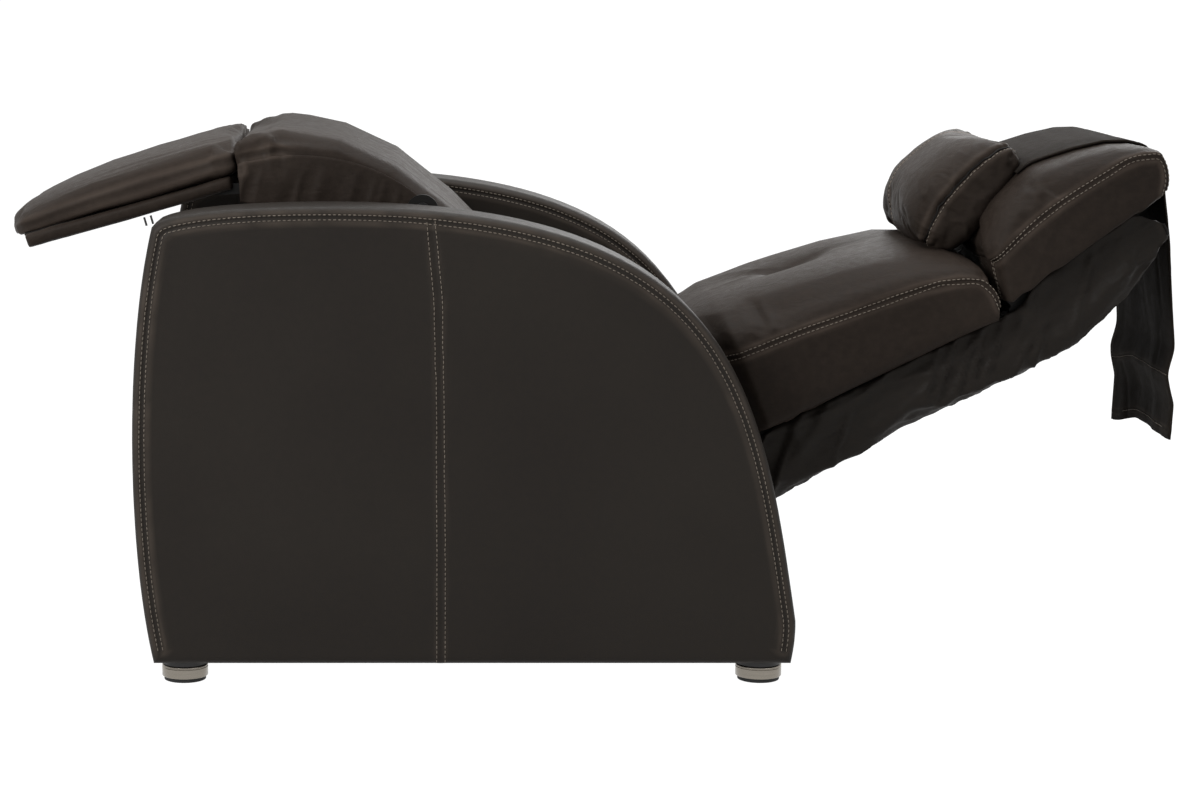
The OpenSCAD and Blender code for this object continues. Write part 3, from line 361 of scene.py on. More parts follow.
class Pad:
    """A pad's middle curve and sizes, sampled finely; all in millimetres."""

    def __init__(self, line, half, crown, depth, ends, rounds, tufts=(), under=None, lip=None):
        turn = np.cos(np.linspace(0, math.pi, 4001))
        t = 0.5 - 0.5 * np.sign(turn) * np.abs(turn) ** ends[1]
        self.t = t
        self.middle = bezier(line, t)
        self.up_way = self.down_way = leftward(bezier_way(line, t))
        self.half = look_up(half, t) * end_round(ends[0], t)
        self.shrink = end_round(ends[1], t)
        self.up = look_up(crown, t) * self.shrink
        if under is None:
            reach = look_up(depth, t)
        else:
            marks = np.linspace(0, 1, len(under))
            low = np.stack([np.interp(t, marks, under[:, k]) for k in (0, 1)], axis=1)
            reach = np.linalg.norm(low - self.middle, axis=1)
            self.down_way = (self.middle - low) / reach[:, None]
        self.down = reach * self.shrink
        self.lip = look_up(lip, t) if lip else np.zeros(len(t))
        self.top_power, self.low_power = (look_up(r, t) if isinstance(r, list) else np.full(len(t), r)
                                          for r in rounds)
        self.tufts = tufts

    def ring(self, i, top_count, low_count):
        """One ring of points, evenly spread over its top and over its underside."""
        rows = []
        for start, count, reach, power in ((0, top_count, self.up[i], self.top_power[i]),
                                           (math.pi, low_count, self.down[i], self.low_power[i])):
            f = np.linspace(start, start + math.pi, 721)
            y = self.half[i] * np.sign(np.cos(f)) * np.abs(np.cos(f)) ** power
            h = reach * np.sign(np.sin(f)) * np.abs(np.sin(f)) ** power
            rows.append(even_points(np.stack([y, h], axis=1), count + 1)[:-1])
        y, h = np.concatenate(rows).T
        span_x = np.linalg.norm(self.middle[-1] - self.middle[0])
        for place, across, deep, reach in self.tufts:
            away = ((self.t[i] - place) * span_x) ** 2 + (y - across) ** 2
            h = h - np.where(h > 0, deep * self.shrink[i] * np.exp(-away / reach ** 2), 0)
        h = np.where(h < 0, h * (1 + self.lip[i] / self.down[i] * fade(np.abs(y), self.half[i] - LIP,
                                                                       self.half[i] - LIP / 2)), h)
        o = self.middle[i]
        n = np.where((h >= 0)[:, None], self.up_way[i], self.down_way[i])
        return np.stack([o[0] + n[:, 0] * h, y, o[1] + n[:, 1] * h], axis=1)

    def rings(self, step, top_count, low_count):
        crest = self.middle + self.up_way * self.up[:, None]
        run = lengths_along(crest)
        marks = np.linspace(0, run[-1], int(run[-1] / step) + 1)[1:-1]
        picks = np.unique(np.clip(np.searchsorted(run, marks), 1, len(run) - 2))
        self.ring_places = self.t[picks]
        return np.array([self.ring(i, top_count, low_count) for i in picks])


print("pad shapes ready")

# %% [markdown]
# ## From points to a mesh
# Sheets are grids of points, and closed shells are grids or loops joined by bands of faces. These
# helpers number the faces, make the object, and read or move its points all at once.


# %% Mesh helpers
def grid_faces(rows, cols, start=0):
    """Faces of a grid whose points are numbered row by row."""
    return [(start + i * cols + j, start + i * cols + j + 1, start + (i + 1) * cols + j + 1,
             start + (i + 1) * cols + j) for i in range(rows - 1) for j in range(cols - 1)]


def grid_rim(rows, cols):
    """Numbers of the points round the edge of a grid, in one closed loop."""
    rim = [i * cols for i in range(rows)] + [(rows - 1) * cols + j for j in range(1, cols)]
    return rim + [i * cols + cols - 1 for i in range(rows - 2, -1, -1)] + list(range(cols - 2, 0, -1))


def band(first, second):
    """Faces between two closed loops of as many points."""
    count = len(first)
    return [(first[k], first[(k + 1) % count], second[(k + 1) % count], second[k]) for k in range(count)]


def mesh_object(name, points, faces, finish):
    mesh = bpy.data.meshes.new(name)
    mesh.from_pydata([tuple(p) for p in points], [], faces)
    tidy = bmesh.new()
    tidy.from_mesh(mesh)
    bmesh.ops.remove_doubles(tidy, verts=tidy.verts, dist=1e-6)
    bmesh.ops.recalc_face_normals(tidy, faces=tidy.faces)
    tidy.to_mesh(mesh)
    tidy.free()
    mesh.shade_smooth()
    made = bpy.data.objects.new(name, mesh)
    mesh.materials.append(finish)
    scene.collection.objects.link(made)
    return made


def skin(name, grid, poles, finish):
    """A closed mesh object from rings of points (mm) and a point at either end."""
    rings, sides, _ = grid.shape
    points = np.concatenate([[poles[0]], grid.reshape(-1, 3), [poles[1]]]) * MM
    faces = [(0, 1 + (j + 1) % sides, 1 + j) for j in range(sides)]
    for i in range(rings - 1):
        a = 1 + i * sides
        faces += [(a + j, a + (j + 1) % sides, a + sides + (j + 1) % sides, a + sides + j)
                  for j in range(sides)]
    last = 1 + (rings - 1) * sides
    faces += [(len(points) - 1, last + j, last + (j + 1) % sides) for j in range(sides)]
    return mesh_object(name, points, faces, finish)


def coordinates(mesh, kind="vertices"):
    flat = np.zeros(len(mesh.vertices) * 3, np.float64)
    if kind == "vertices":
        mesh.vertices.foreach_get("co", flat)
    else:
        mesh.vertex_normals.foreach_get("vector", flat)
    return flat.reshape(-1, 3)


def move_to(mesh, points):
    mesh.vertices.foreach_set("co", np.asarray(points, np.float32).ravel())
    mesh.update()


print("mesh helpers ready")

# %% [markdown]
# ## Swelling a pad with the cloth solver
# A stuffed cushion is a bag that is a little too big for its seams: between the seams it swells,
# and beside them it puckers. The Cloth modifier gives exactly that. The seams and the underside
# are pinned, the cloth grows by a few per cent, and air pressure blows it up for twenty frames.
# The result is written into the mesh, with a cap on how far any point may move, so that the pad
# stays in the room the frame leaves it.


# %% Cloth and refining
def swell(obj, held, growth=0.03, cap=0.008, pressure=4.0, frames=20):
    before = coordinates(obj.data)
    group = obj.vertex_groups.new(name="held")
    group.add([int(i) for i in held], 1.0, "REPLACE")
    cloth = obj.modifiers.new("cloth", "CLOTH")
    rules = cloth.settings
    rules.quality = 5
    rules.mass = 0.3
    rules.tension_stiffness = rules.compression_stiffness = 12
    rules.shear_stiffness = 6
    rules.bending_stiffness = 0.4
    rules.use_pressure = True
    rules.uniform_pressure_force = pressure
    rules.shrink_min = -growth
    rules.vertex_group_mass = "held"
    rules.effector_weights.gravity = 0
    cloth.point_cache.frame_start = 1
    cloth.point_cache.frame_end = frames
    for number in range(1, frames + 1):
        scene.frame_set(number)
    solved = obj.evaluated_get(bpy.context.evaluated_depsgraph_get())
    after = coordinates(solved.to_mesh())
    solved.to_mesh_clear()
    obj.modifiers.remove(cloth)
    obj.vertex_groups.remove(group)
    scene.frame_set(1)
    move = after - before
    far = np.linalg.norm(move, axis=1)[:, None]
    move *= np.minimum(1, cap / np.maximum(far, 1e-9))
    move_to(obj.data, before + move)
    print("  swelled", obj.name, "by up to", round(float(min(far.max(), cap)) / MM, 1), "mm")


def bake(obj):
    """Write what an object's modifiers make into a plain mesh."""
    solved = obj.evaluated_get(bpy.context.evaluated_depsgraph_get())
    plain = bpy.data.meshes.new_from_object(solved)
    obj.modifiers.clear()
    old, obj.data = obj.data, plain
    bpy.data.meshes.remove(old)
    plain.name = obj.name
    return plain


def refine(obj):
    """One round of smooth subdivision."""
    smooth = obj.modifiers.new("smooth", "SUBSURF")
    smooth.levels = smooth.render_levels = 1
    bake(obj)


def thicken(obj, thickness, offset):
    """Give a sheet its thickness, to one side of where it was drawn."""
    thick = obj.modifiers.new("thickness", "SOLIDIFY")
    thick.thickness = thickness
    thick.offset = offset
    bake(obj)


print("cloth helpers ready")

# %% [markdown]
# ## Wrinkles
# Old leather keeps the folds it is bent into. They are drawn with noise that is stretched along
# the way the folds run: a fold is sharp on its crest and broad in its valley, so the noise is
# folded over at zero. One hash of whole-number cells serves thousands of points at once.


# %% Noise and folds
def soft_noise(points, seed=0):
    """Smooth noise from -1 to 1 with cells one unit wide, at many points at once."""
    cell = np.floor(points).astype(np.int64)
    f = points - cell
    f = f * f * (3 - 2 * f)
    total = np.zeros(len(points))
    for dx in (0, 1):
        for dy in (0, 1):
            for dz in (0, 1):
                h = ((cell[:, 0] + dx) * 73856093 ^ (cell[:, 1] + dy) * 19349663
                     ^ (cell[:, 2] + dz) * 83492791 ^ seed * 2654435761) & 0xFFFFFFFF
                h = ((h ^ (h >> 13)) * 1274126177) & 0xFFFFFFFF
                level = ((h ^ (h >> 16)) & 0xFFFF) / 0x7FFF - 1
                share = (np.abs(1 - dx - f[:, 0]) * np.abs(1 - dy - f[:, 1]) * np.abs(1 - dz - f[:, 2]))
                total += level * share
    return total


def folds(points, along, length, width, seed=0):
    """Sharp-crested folds from 0 to 1, this long and this far apart (metres)."""
    along = np.asarray(along, float) / np.linalg.norm(along)
    run = points @ along
    rest = points - run[:, None] * along
    q = rest / width + (run / length)[:, None] * along
    return np.clip(1 - 2.0 * np.abs(soft_noise(q, seed)), 0, 1) ** 1.5


def push(obj, amount):
    """Move every point along its normal by amount(points), in metres."""
    points = coordinates(obj.data)
    out = coordinates(obj.data, "normals")
    move_to(obj.data, points + out * amount(points)[:, None])


print("fold helpers ready")

# %% [markdown]
# ## Sewing
# A seam is three things at once: a groove where the thread pulls the leather down, small puckers
# that run away from it, and the thread itself. `sew` takes seams on one piece, presses their
# grooves and puckers into the skin, paints the ridges beside them lighter as rubbed coat and as a
# painted highlight, and remembers where the rows of stitches and the cords of piping run. Both are
# made at the end, all together.

# %% Seams
SEAM_STEP = 0.002
AT_ONCE = 4000
stitch_rows, piping_rows = {}, {}


def seam(path, rows=(-0.0036, 0.0036), deep=0.0022, wide=0.0032, pucker=0.0008, worn_and_highlight=0.5, reach=0.02,
         piped=False, number=0):
    return {"path": even_points(path, step=SEAM_STEP), "rows": rows, "deep": deep, "wide": wide,
            "pucker": pucker, "worn_and_highlight": worn_and_highlight, "reach": reach, "piped": piped, "number": number}


def nearest_on(path, points):
    """For every point, the number of the nearest path point and how far it is."""
    which = np.zeros(len(points), int)
    far = np.zeros(len(points))
    for start in range(0, len(points), AT_ONCE):
        part = points[start:start + AT_ONCE]
        gap = ((part[:, None, :] - path[None, :, :]) ** 2).sum(axis=2)
        which[start:start + AT_ONCE] = gap.argmin(axis=1)
        far[start:start + AT_ONCE] = np.sqrt(gap.min(axis=1))
    return which, far


def press_seam(points, out, wear_and_highlight, s):
    path, wide, reach = s["path"], s["wide"], s["reach"]
    close = np.all((points > path.min(0) - 4 * reach) & (points < path.max(0) + 4 * reach), axis=1)
    close = np.where(close)[0]
    which, far = nearest_on(path, points[close])
    run = which * SEAM_STEP
    crest = np.exp(-((far - 2.6 * wide) / (1.3 * wide)) ** 2)
    zero = np.full(len(run), s["number"], float)
    gather = (soft_noise(np.stack([run * 95, zero, far * 14], axis=1))
              + 0.5 * soft_noise(np.stack([run * 210, zero + 5, far * 30], axis=1)))
    depth = (-s["deep"] * np.exp(-(far / wide) ** 2) + 0.3 * s["deep"] * crest
             + s["pucker"] * gather * np.exp(-far / reach) * np.minimum(1, far / 0.003))
    points[close] += out[close] * depth[:, None]
    # the ridges beside the groove are painted lighter: rubbed coat and a painted highlight
    uneven = 0.75 + 0.35 * soft_noise(np.stack([run * 50, zero, zero], axis=1))
    wear_and_highlight[close] = np.maximum(wear_and_highlight[close], s["worn_and_highlight"] * crest * uneven)


print("seam helpers ready")

# %% [markdown]
# ## Rows of thread
# Once the grooves are pressed, every row is laid back on the real skin, beside its seam, and its
# small wobbles are averaged out. `dress` then ties a piece to the body that it rides on.


# %% Sewing
def surface_of(obj):
    bm = bmesh.new()
    bm.from_mesh(obj.data)
    tree = BVHTree.FromBMesh(bm)
    bm.free()
    return tree


def steadied(rows, window=9):
    """A row of points or directions with its small wobbles averaged out."""
    rows = np.asarray(rows, float)
    if len(rows) <= window:
        return rows
    wide = np.pad(rows, ((window // 2, window // 2), (0, 0)), "edge")
    calm = np.stack([np.convolve(wide[:, k], np.ones(window) / window, "valid") for k in range(3)], axis=1)
    calm[0], calm[-1] = rows[0], rows[-1]
    return calm


def sew(obj, body, seams):
    mesh = obj.data
    points, out = coordinates(mesh), coordinates(mesh, "normals")
    wear_and_highlight = np.zeros(len(points))
    for s in seams:
        press_seam(points, out, wear_and_highlight, s)
    move_to(mesh, points)
    # keeps the painted-lighter ridges (rubbed coat and painted highlight) for the leather shader
    mesh.attributes.new("wear_and_highlight", "FLOAT", "POINT").data.foreach_set("value", np.clip(wear_and_highlight, 0, 1))
    surface = surface_of(obj)
    for s in seams:
        path = steadied(s["path"])
        found = [surface.find_nearest(Vector(p))[:2] for p in path]
        normals = steadied([n for _, n in found], 13)
        across = np.cross(normals, slope(path))
        across /= np.linalg.norm(across, axis=1)[:, None]
        for row in s["rows"]:
            line = [surface.find_nearest(Vector(p))[0] for p in path + across * row]
            stitch_rows.setdefault(body, []).append(steadied(line, 5) + normals * 0.0005)
        if s["piped"]:
            line = steadied([p for p, _ in found], 5)
            piping_rows.setdefault(body, []).append(line[::2])


def dress(obj, body, stands_for):
    """Tie a finished piece to its body and hide the solids it stands for."""
    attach(obj, body)
    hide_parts(*stands_for)
    print(obj.name, "with", len(obj.data.polygons), "faces")


print("sewing helpers ready")

# %% [markdown]
# ## The pads' sizes
# The middle curves, half widths, crowns and depths are the sizes that the solids were built
# from, in millimetres, so that each leather pad fills the room that was kept for it. A depth
# table comes from the board the pad lies on.


# %% Sizes shared with the frame
def polar(c, r, degrees):
    return np.array([c[0] + r * math.cos(math.radians(degrees)), c[1] + r * math.sin(math.radians(degrees))])


def depth_to(line, on, degrees, gap=0.3):
    """How far below the middle curve a straight board lies, as a table."""
    t = np.linspace(0, 1, 41)
    at, n = bezier(line, t), leftward(bezier_way(line, t))
    m = np.array([-math.sin(math.radians(degrees)), math.cos(math.radians(degrees))])
    return np.stack([t, np.maximum(2, ((at - on) @ m - gap) / (n @ m))], axis=1)


def on_plane(start, degrees, a, p):
    """A point a along and p above a sloping plane that starts at a point."""
    return polar(polar(start, a, degrees), p, degrees + 90)


knee, foot_hinge, back_hinge = np.array([-262, 690]), np.array([-517, 722]), np.array([60, 415])
head_root = np.array([600, 545])
CALF_ANGLE = math.degrees(math.atan2(foot_hinge[1] - knee[1], foot_hinge[0] - knee[0]))
FOOT_ANGLE, SEAT_PITCH, BACK_PITCH, HEAD_PITCH = 196, -52, 26.1, 35.6
seat_root = polar([-5, 461], 86, SEAT_PITCH - 90)
SEAT_HALF, BACK_HALF, LEG_HALF, COVER_HALF = 232, 262, 250, 232
BOX_BOTTOM = -137
print("calf board slopes at", round(CALF_ANGLE - 180, 1), "degrees")

# %% [markdown]
# ## Making one pad
# The same steps make every pad: draw the skin a touch small, pin its seam columns and its
# underside, swell it, and refine it. The pad's two long seams are columns of the grid, so their
# paths can be read back from the swollen mesh.


# %% Pad maker
class Made:
    """A finished skin, and where the points of its grid ended up."""

    def __init__(self, name, pad, top_count, low_count, step=7.0, growth=0.03, cap=0.008, stuffed=True,
                 finish=None):
        grid = pad.rings(step, top_count, low_count)
        poles = [(pad.middle[k][0], 0, pad.middle[k][1]) for k in (0, -1)]
        self.obj = skin(name, grid, poles, finish or cushion_leather)
        self.rings, self.sides = grid.shape[:2]
        self.places = pad.ring_places
        self.top = top_count
        if stuffed:
            held = [0, 1 + self.rings * self.sides]
            held += [self.at(i, j) for i in range(self.rings) for j in range(top_count, self.sides + 1)]
            swell(self.obj, held, growth, cap)
        self.points = coordinates(self.obj.data)
        refine(self.obj)

    def at(self, i, j):
        return 1 + (i % self.rings) * self.sides + j % self.sides

    def ring_near(self, t):
        return int(np.argmin(np.abs(self.places - t)))

    def path(self, places):
        return self.points[[self.at(i, j) for i, j in places]]

    def edge(self, side, below=0):
        """Column of one long seam, or one that lies some columns below it."""
        return self.top + below if side < 0 else -below


print("pad maker ready")

# %% [markdown]
# ## The foot cushion and its board
# The foot section is a soft wedge of foam zipped to a padded board. Its top is creased by heels:
# long slanting folds that start at the soft edge of the pad. The board under it is wrapped in the
# same leather, with a rounded nose, and a cord of piping hides the zip between the two.

# %% Foot cushion
foot_line = [[-880, 650], [-792, 690], [-652, 738], [-534, 764]]
foot_depth = depth_to(foot_line, polar(foot_hinge, 27, FOOT_ANGLE - 90), FOOT_ANGLE - 180)
foot_pad = Pad(foot_line, [[0, 130], [0.02, 176], [0.06, 210], [0.14, 232], [0.3, LEG_HALF], [1, LEG_HALF]],
               [[0, 12], [0.12, 25], [0.3, 33], [0.65, 36], [0.88, 30], [1, 27]], foot_depth,
               (0.1, 0.04), (0.62, 0.06))
foot = Made("foot_leather", foot_pad, 60, 60, cap=0.007)


def heel_creases(p):
    edge = fade(np.abs(p[:, 1]), 0.10, 0.22)
    slant = folds(p, (1, 0.35, 0.62), 0.22, 0.026, 3) - 0.35
    soft = soft_noise(p * (7, 5, 9), 4)
    return 0.0036 * edge * slant + 0.0016 * soft * (1 - 0.5 * edge)


push(foot.obj, heel_creases)
foot_seams = [seam(foot.path([(i, foot.edge(side)) for i in range(3, foot.rings - 2)]), rows=(),
                   deep=0.0012, wide=0.004, pucker=0.0016, reach=0.026, worn_and_highlight=0.45, number=side + 2)
              for side in (-1, 1)]
sew(foot.obj, "foot", foot_seams)
dress(foot.obj, "foot", ["foot_cushion"])

# %% Foot board
board_ends = [on_plane(foot_hinge, FOOT_ANGLE - 180, a, 14.5) for a in (-344, -19)]
board_line = [board_ends[0] + (board_ends[1] - board_ends[0]) * k / 3 for k in range(4)]
board_pad = Pad(board_line, [[0, 250], [1, 250]], [[0, 12.4], [1, 12.4]], [[0, 12.5], [1, 12.5]],
                (0.05, 0.07), (0.12, 0.3))
board = Made("foot_board_leather", board_pad, 60, 60, step=6.0, stuffed=False)


def board_quilting(p):
    return 0.0012 * soft_noise(p * (30, 12, 30), 8) - 0.0008


push(board.obj, board_quilting)
zip_seams = [seam(board.path([(i, board.edge(side, -3)) for i in range(board.rings - 2, 0, -1)]), rows=(),
                  deep=0.0010, wide=0.0022, pucker=0.0006, worn_and_highlight=0.2, piped=True, number=side + 5)
             for side in (-1, 1)]
zip_seams.append(seam(board.path([(1, j) for j in range(3, board.top - 2)]), rows=(), deep=0.001,
                      wide=0.0022, pucker=0.0006, worn_and_highlight=0.2, piped=True, number=8))
sew(board.obj, "foot", zip_seams)
dress(board.obj, "foot", ["foot_board"])

# %% [markdown]
# ## The leg and seat leather
# One piece of leather covers the calf cushion, runs over the knee and goes on down the seat, so
# nothing is cut at the knee hinge. It is drawn as a single pad along two curves that meet at the
# knee, where it is thin.

# %% Leg and seat pad
leg_line = [[-537, 764], [-478, 782], [-384, 793], [-292, 736],
            [-292, 736], [-232, 699], [-130, 588], [-24, 412]]
CALF_HALF = 252
to_calf_board = depth_to(leg_line, polar(knee, 12, CALF_ANGLE - 90), CALF_ANGLE - 180)
to_seat_deck = depth_to(leg_line, seat_root, SEAT_PITCH)
leg_depth = np.where(to_calf_board[:, :1] < 0.5, to_calf_board, to_seat_deck)
leg_depth[:, 1] *= 1 - 0.55 * np.exp(-((leg_depth[:, 0] - 0.52) / 0.09) ** 2)
leg_depth[:, 1] = np.convolve(np.pad(leg_depth[:, 1], 1, "edge"), [0.25, 0.5, 0.25], "valid")
leg_pad = Pad(leg_line, [[0, CALF_HALF], [0.45, CALF_HALF], [0.55, SEAT_HALF], [1, SEAT_HALF]],
              [[0, 26], [0.1, 22], [0.2, 25], [0.3, 32], [0.4, 34], [0.5, 27], [0.62, 20], [0.75, 15],
               [1, 21]],
              leg_depth, (0.03, 0.06), (0.25, [[0, 0.1], [0.4, 0.1], [0.52, 0.42], [1, 0.42]]),
              [(0.78, 0, 7, 60)])
leg = Made("leg_leather", leg_pad, 60, 56)


def leg_creases(p):
    """Puckers hang under the calf's edge; the leather is smooth over the knee."""
    calf = 1 - fade(p[:, 0], -0.36, -0.28)
    edge = fade(np.abs(p[:, 1]), 0.19, 0.24)
    gathers = folds(p, (0.35, 0.3, 1), 0.10, 0.022, 6) - 0.3
    broad = soft_noise(p * (9, 6, 12), 12)
    pull = folds(p, (1, 0.1, -0.8), 0.25, 0.03, 14) - 0.35
    knee_part = fade(p[:, 0], -0.34, -0.27) * (1 - fade(p[:, 0], -0.2, -0.12))
    return 0.0042 * calf * edge * gathers + 0.0018 * broad + 0.0018 * knee_part * pull


push(leg.obj, leg_creases)

# %% [markdown]
# ## The calf's sides
# From the calf's seam a strip of leather hangs down on either side and hides the frame. Each strip
# is a thin closed shell in soft gathers, and both are joined to the leg leather.

# %% Calf boxing
BOXING_AT, BOXING_MOST = 255.5, 261
HEM_DROP, HEM_LOWEST = 34, 668


def calf_boxing(side, steps=80, rows=20):
    """The strip of leather that hangs from the calf's seam over the frame, in soft gathers."""
    t = np.linspace(0.012, 0.56, steps)
    top = bezier(leg_line, t) + [0, -7]
    board_z = knee[1] + 12 - (knee[0] - top[:, 0]) * math.tan(math.radians(CALF_ANGLE - 180))
    hem = np.stack([top[:, 0] + 2, np.maximum(board_z - HEM_DROP, HEM_LOWEST)], axis=1)
    v = np.linspace(0, 1, rows)[None, :, None]
    flat = top[:, None] * (1 - v) + hem[:, None] * v
    x, z = flat[..., 0].ravel(), flat[..., 1].ravel()
    v = np.repeat(v[0, :, 0][None], steps, 0).ravel()
    p = np.stack([x, np.full(len(x), side * LEG_HALF), z], axis=1) * MM
    gathers = folds(p, (0.3, 0, 1), 0.09, 0.02, 15 + side) - 0.3
    out = (BOXING_AT + 2.2 * np.sin(v * math.pi)
           + 4.2 * gathers * np.sin(np.clip(v * 1.3, 0, 1) * math.pi * 0.5))
    outer = np.stack([x, side * np.minimum(out, BOXING_MOST), z], axis=1)
    inner = outer - [0, side * 2.5, 0]
    n, rim, faces = steps * rows, grid_rim(steps, rows), grid_faces(steps, rows)
    faces += [tuple(n + k for k in face[::-1]) for face in faces]
    faces += band(rim, [n + k for k in rim])
    return mesh_object("calf_boxing", np.concatenate([outer, inner]) * MM, faces, cushion_leather)


def join_into(obj, parts):
    """Put the meshes of some objects into one, as separate closed shells."""
    whole = bmesh.new()
    for each in [obj] + parts:
        whole.from_mesh(each.data)
    whole.to_mesh(obj.data)
    whole.free()
    obj.data.shade_smooth()
    for each in parts:
        bpy.data.objects.remove(each)


join_into(leg.obj, [calf_boxing(side) for side in (-1, 1)])
print("calf boxing on both sides")

# %% [markdown]
# ## Sewing the leg
# A seam runs up the front corner and along the calf's edge.

# %% Leg seams
calf_rings = leg.ring_near(0.47)
leg_seams = []
for side in (-1, 1):
    front = [(2, leg.edge(side, k)) for k in (6, 4, 2)]
    upper = [(i, leg.edge(side)) for i in range(2, calf_rings)]
    leg_seams.append(seam(leg.path(front + upper), rows=(), deep=0.0026, wide=0.0032,
                          pucker=0.0026, reach=0.028, worn_and_highlight=0.45, number=side + 12))
sew(leg.obj, "leg", leg_seams)
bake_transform(leg.obj)
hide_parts("calf_cushion", "seat_cushion")
print("leg and seat leather with", len(leg.obj.data.polygons), "faces")

# %% [markdown]
# ## The back cushion
# The back is a boxed cushion: a domed top sewn to an upright side with two rows of stitches, and
# one deep tuft in its middle that draws the leather into a star of folds. Inside the side panels
# it is thin; just behind them the box starts with an upright end.

# %% Back cushion
back_line = [[12, 402], [175, 448], [345, 538], [510, 584], [510, 584], [552, 596], [587, 585], [595, 538]]
back_depth = depth_to(back_line[:4], on_plane(back_hinge, BACK_PITCH, 0, BOX_BOTTOM), BACK_PITCH)
BOX_START, BOX_EDGE = 0.11, 0.2
back_depth[:, 0] *= 0.5
back_depth[:, 1] = np.minimum(back_depth[:, 1], 34 + 1700 * np.maximum(0, back_depth[:, 0] - BOX_START))
places = np.linspace(0, 1, 401)
down_at = leftward(bezier_way(back_line, places)) * -look_up(back_depth, places)[:, None]
back_under = bezier(back_line, places) + down_at
STRAIGHT_FROM = 180
start = places[STRAIGHT_FROM]
run_out = fade((places - start) / (1 - start), -1, 1) * 2 - 1
last = on_plane(back_hinge, BACK_PITCH, 528, BOX_BOTTOM)
turned_at = back_under[STRAIGHT_FROM]
back_under = np.where((places > start)[:, None], turned_at + (last - turned_at) * run_out[:, None],
                      back_under)
back_pad = Pad(back_line, [[0, 228], [BOX_EDGE - 0.025, SEAT_HALF], [BOX_EDGE, BACK_HALF - 1],
                           [1, BACK_HALF - 1]],
               [[0, 38], [0.1, 56], [0.2, 71], [0.3, 70], [0.42, 67], [0.5, 58], [0.62, 36], [0.8, 14],
                [1, 6]], None, (0.1, 0.12), (0.78, 0.12), under=back_under)
back = Made("back_leather", back_pad, 84, 90)
TUFTS = [(0.30, 0.0)]


def back_surface(p):
    """The tuft's dimple and star of folds, and the slack leather round the box."""
    out = 0.0008 * soft_noise(p * (9, 7, 9), 21)
    top = fade(p[:, 2] - 0.36 - 0.5 * p[:, 0], 0.0, 0.03)
    for x, y in TUFTS:
        run, across = (p[:, 0] - x) / math.cos(math.radians(BACK_PITCH)), p[:, 1] - y
        far = np.hypot(run, across)
        turn = np.arctan2(across, run)
        spokes = np.abs(np.sin(2.5 * turn + 0.6 + 0.5 * np.sin(turn * 2 + 1))) ** 0.8
        star = (0.5 - spokes) * np.exp(-far / 0.07) * fade(far, 0.004, 0.03)
        out += top * (-0.022 * np.exp(-(far / 0.036) ** 2) - 0.008 * np.exp(-(far / 0.10) ** 2)
                      + 0.010 * star)
    side = fade(np.abs(p[:, 1]), 0.245, 0.258) * (1 - top)
    gathers = folds(p, (0.35, 0, 1), 0.12, 0.024, 22) - 0.35
    low = 1 - fade(p[:, 2] - 0.245 - 0.49 * p[:, 0], 0.0, 0.07)
    return out + 0.0016 * side * low * gathers


push(back.obj, back_surface)
back_seams = []
for side in (-1, 1):
    first = back.ring_near(0.15)
    run = [(i, back.edge(side)) for i in range(first, back.rings - 1)]
    back_seams.append(seam(back.path(run), deep=0.0026, wide=0.003, pucker=0.0009, worn_and_highlight=0.55,
                           number=side + 22))
    hem = [(i, back.edge(side, 17)) for i in range(back.ring_near(0.22), back.ring_near(0.55))]
    back_seams.append(seam(back.path(hem), rows=(), deep=0.0022, wide=0.003, pucker=0.0022,
                           reach=0.018, worn_and_highlight=0.35, number=side + 25))
sew(back.obj, "back", back_seams)
dress(back.obj, "back", ["back_cushion"])

# %% [markdown]
# ## The head cushion
# The head cushion is boxed in the same way. Its front leans back against the end of the back
# cushion. Its seam climbs that front edge and runs up the side and round the far end. A small lip
# of leather hangs below the edge of its underside.

# %% Head cushion
head_line = [[586, 612], [635, 676], [705, 722], [785, 769], [785, 769], [815, 788], [848, 764], [829, 706]]
along = np.array([[0, 3], [0.06, 24], [0.5, 203], [0.62, 226], [1, 242]])
places = np.linspace(0, 1, 401)
head_under = np.array([on_plane(head_root, HEAD_PITCH, a, -1) for a in look_up(along, places)])
head_pad = Pad(head_line, [[0, BACK_HALF - 1], [1, BACK_HALF - 1]],
               [[0, 34], [0.1, 51], [0.26, 57], [0.39, 50], [0.46, 35], [0.52, 13], [0.7, 10], [1, 7]], None,
               (0.1, 0.12), (0.7, 0.14), under=head_under,
               lip=[[0, 15], [0.5, 11], [0.62, 6], [1, 0]])
head = Made("head_leather", head_pad, 84, 90)


def head_surface(p):
    side = fade(np.abs(p[:, 1]), 0.246, 0.258)
    pulls = folds(p, (0.5, 0, 1), 0.16, 0.03, 32) - 0.35
    return 0.0009 * soft_noise(p * (10, 7, 10), 31) + 0.0014 * side * pulls


push(head.obj, head_surface)
head_seams = []
for side in (-1, 1):
    climb = [(2, head.edge(side, k)) for k in range(16, 0, -1)]
    run = [(i, head.edge(side)) for i in range(2, head.rings - 1)]
    head_seams.append(seam(head.path(climb + run), deep=0.0026, wide=0.003, pucker=0.0009, worn_and_highlight=0.55,
                           number=side + 32))
sew(head.obj, "back", head_seams)
dress(head.obj, "back", ["head_cushion"])

# %% [markdown]
# ## The neck pillow
# The pillow is a bolster that bulges in its middle: panels wrapped round it, joined by a ring
# seam, and a cap sewn in at either end over a dark piping.

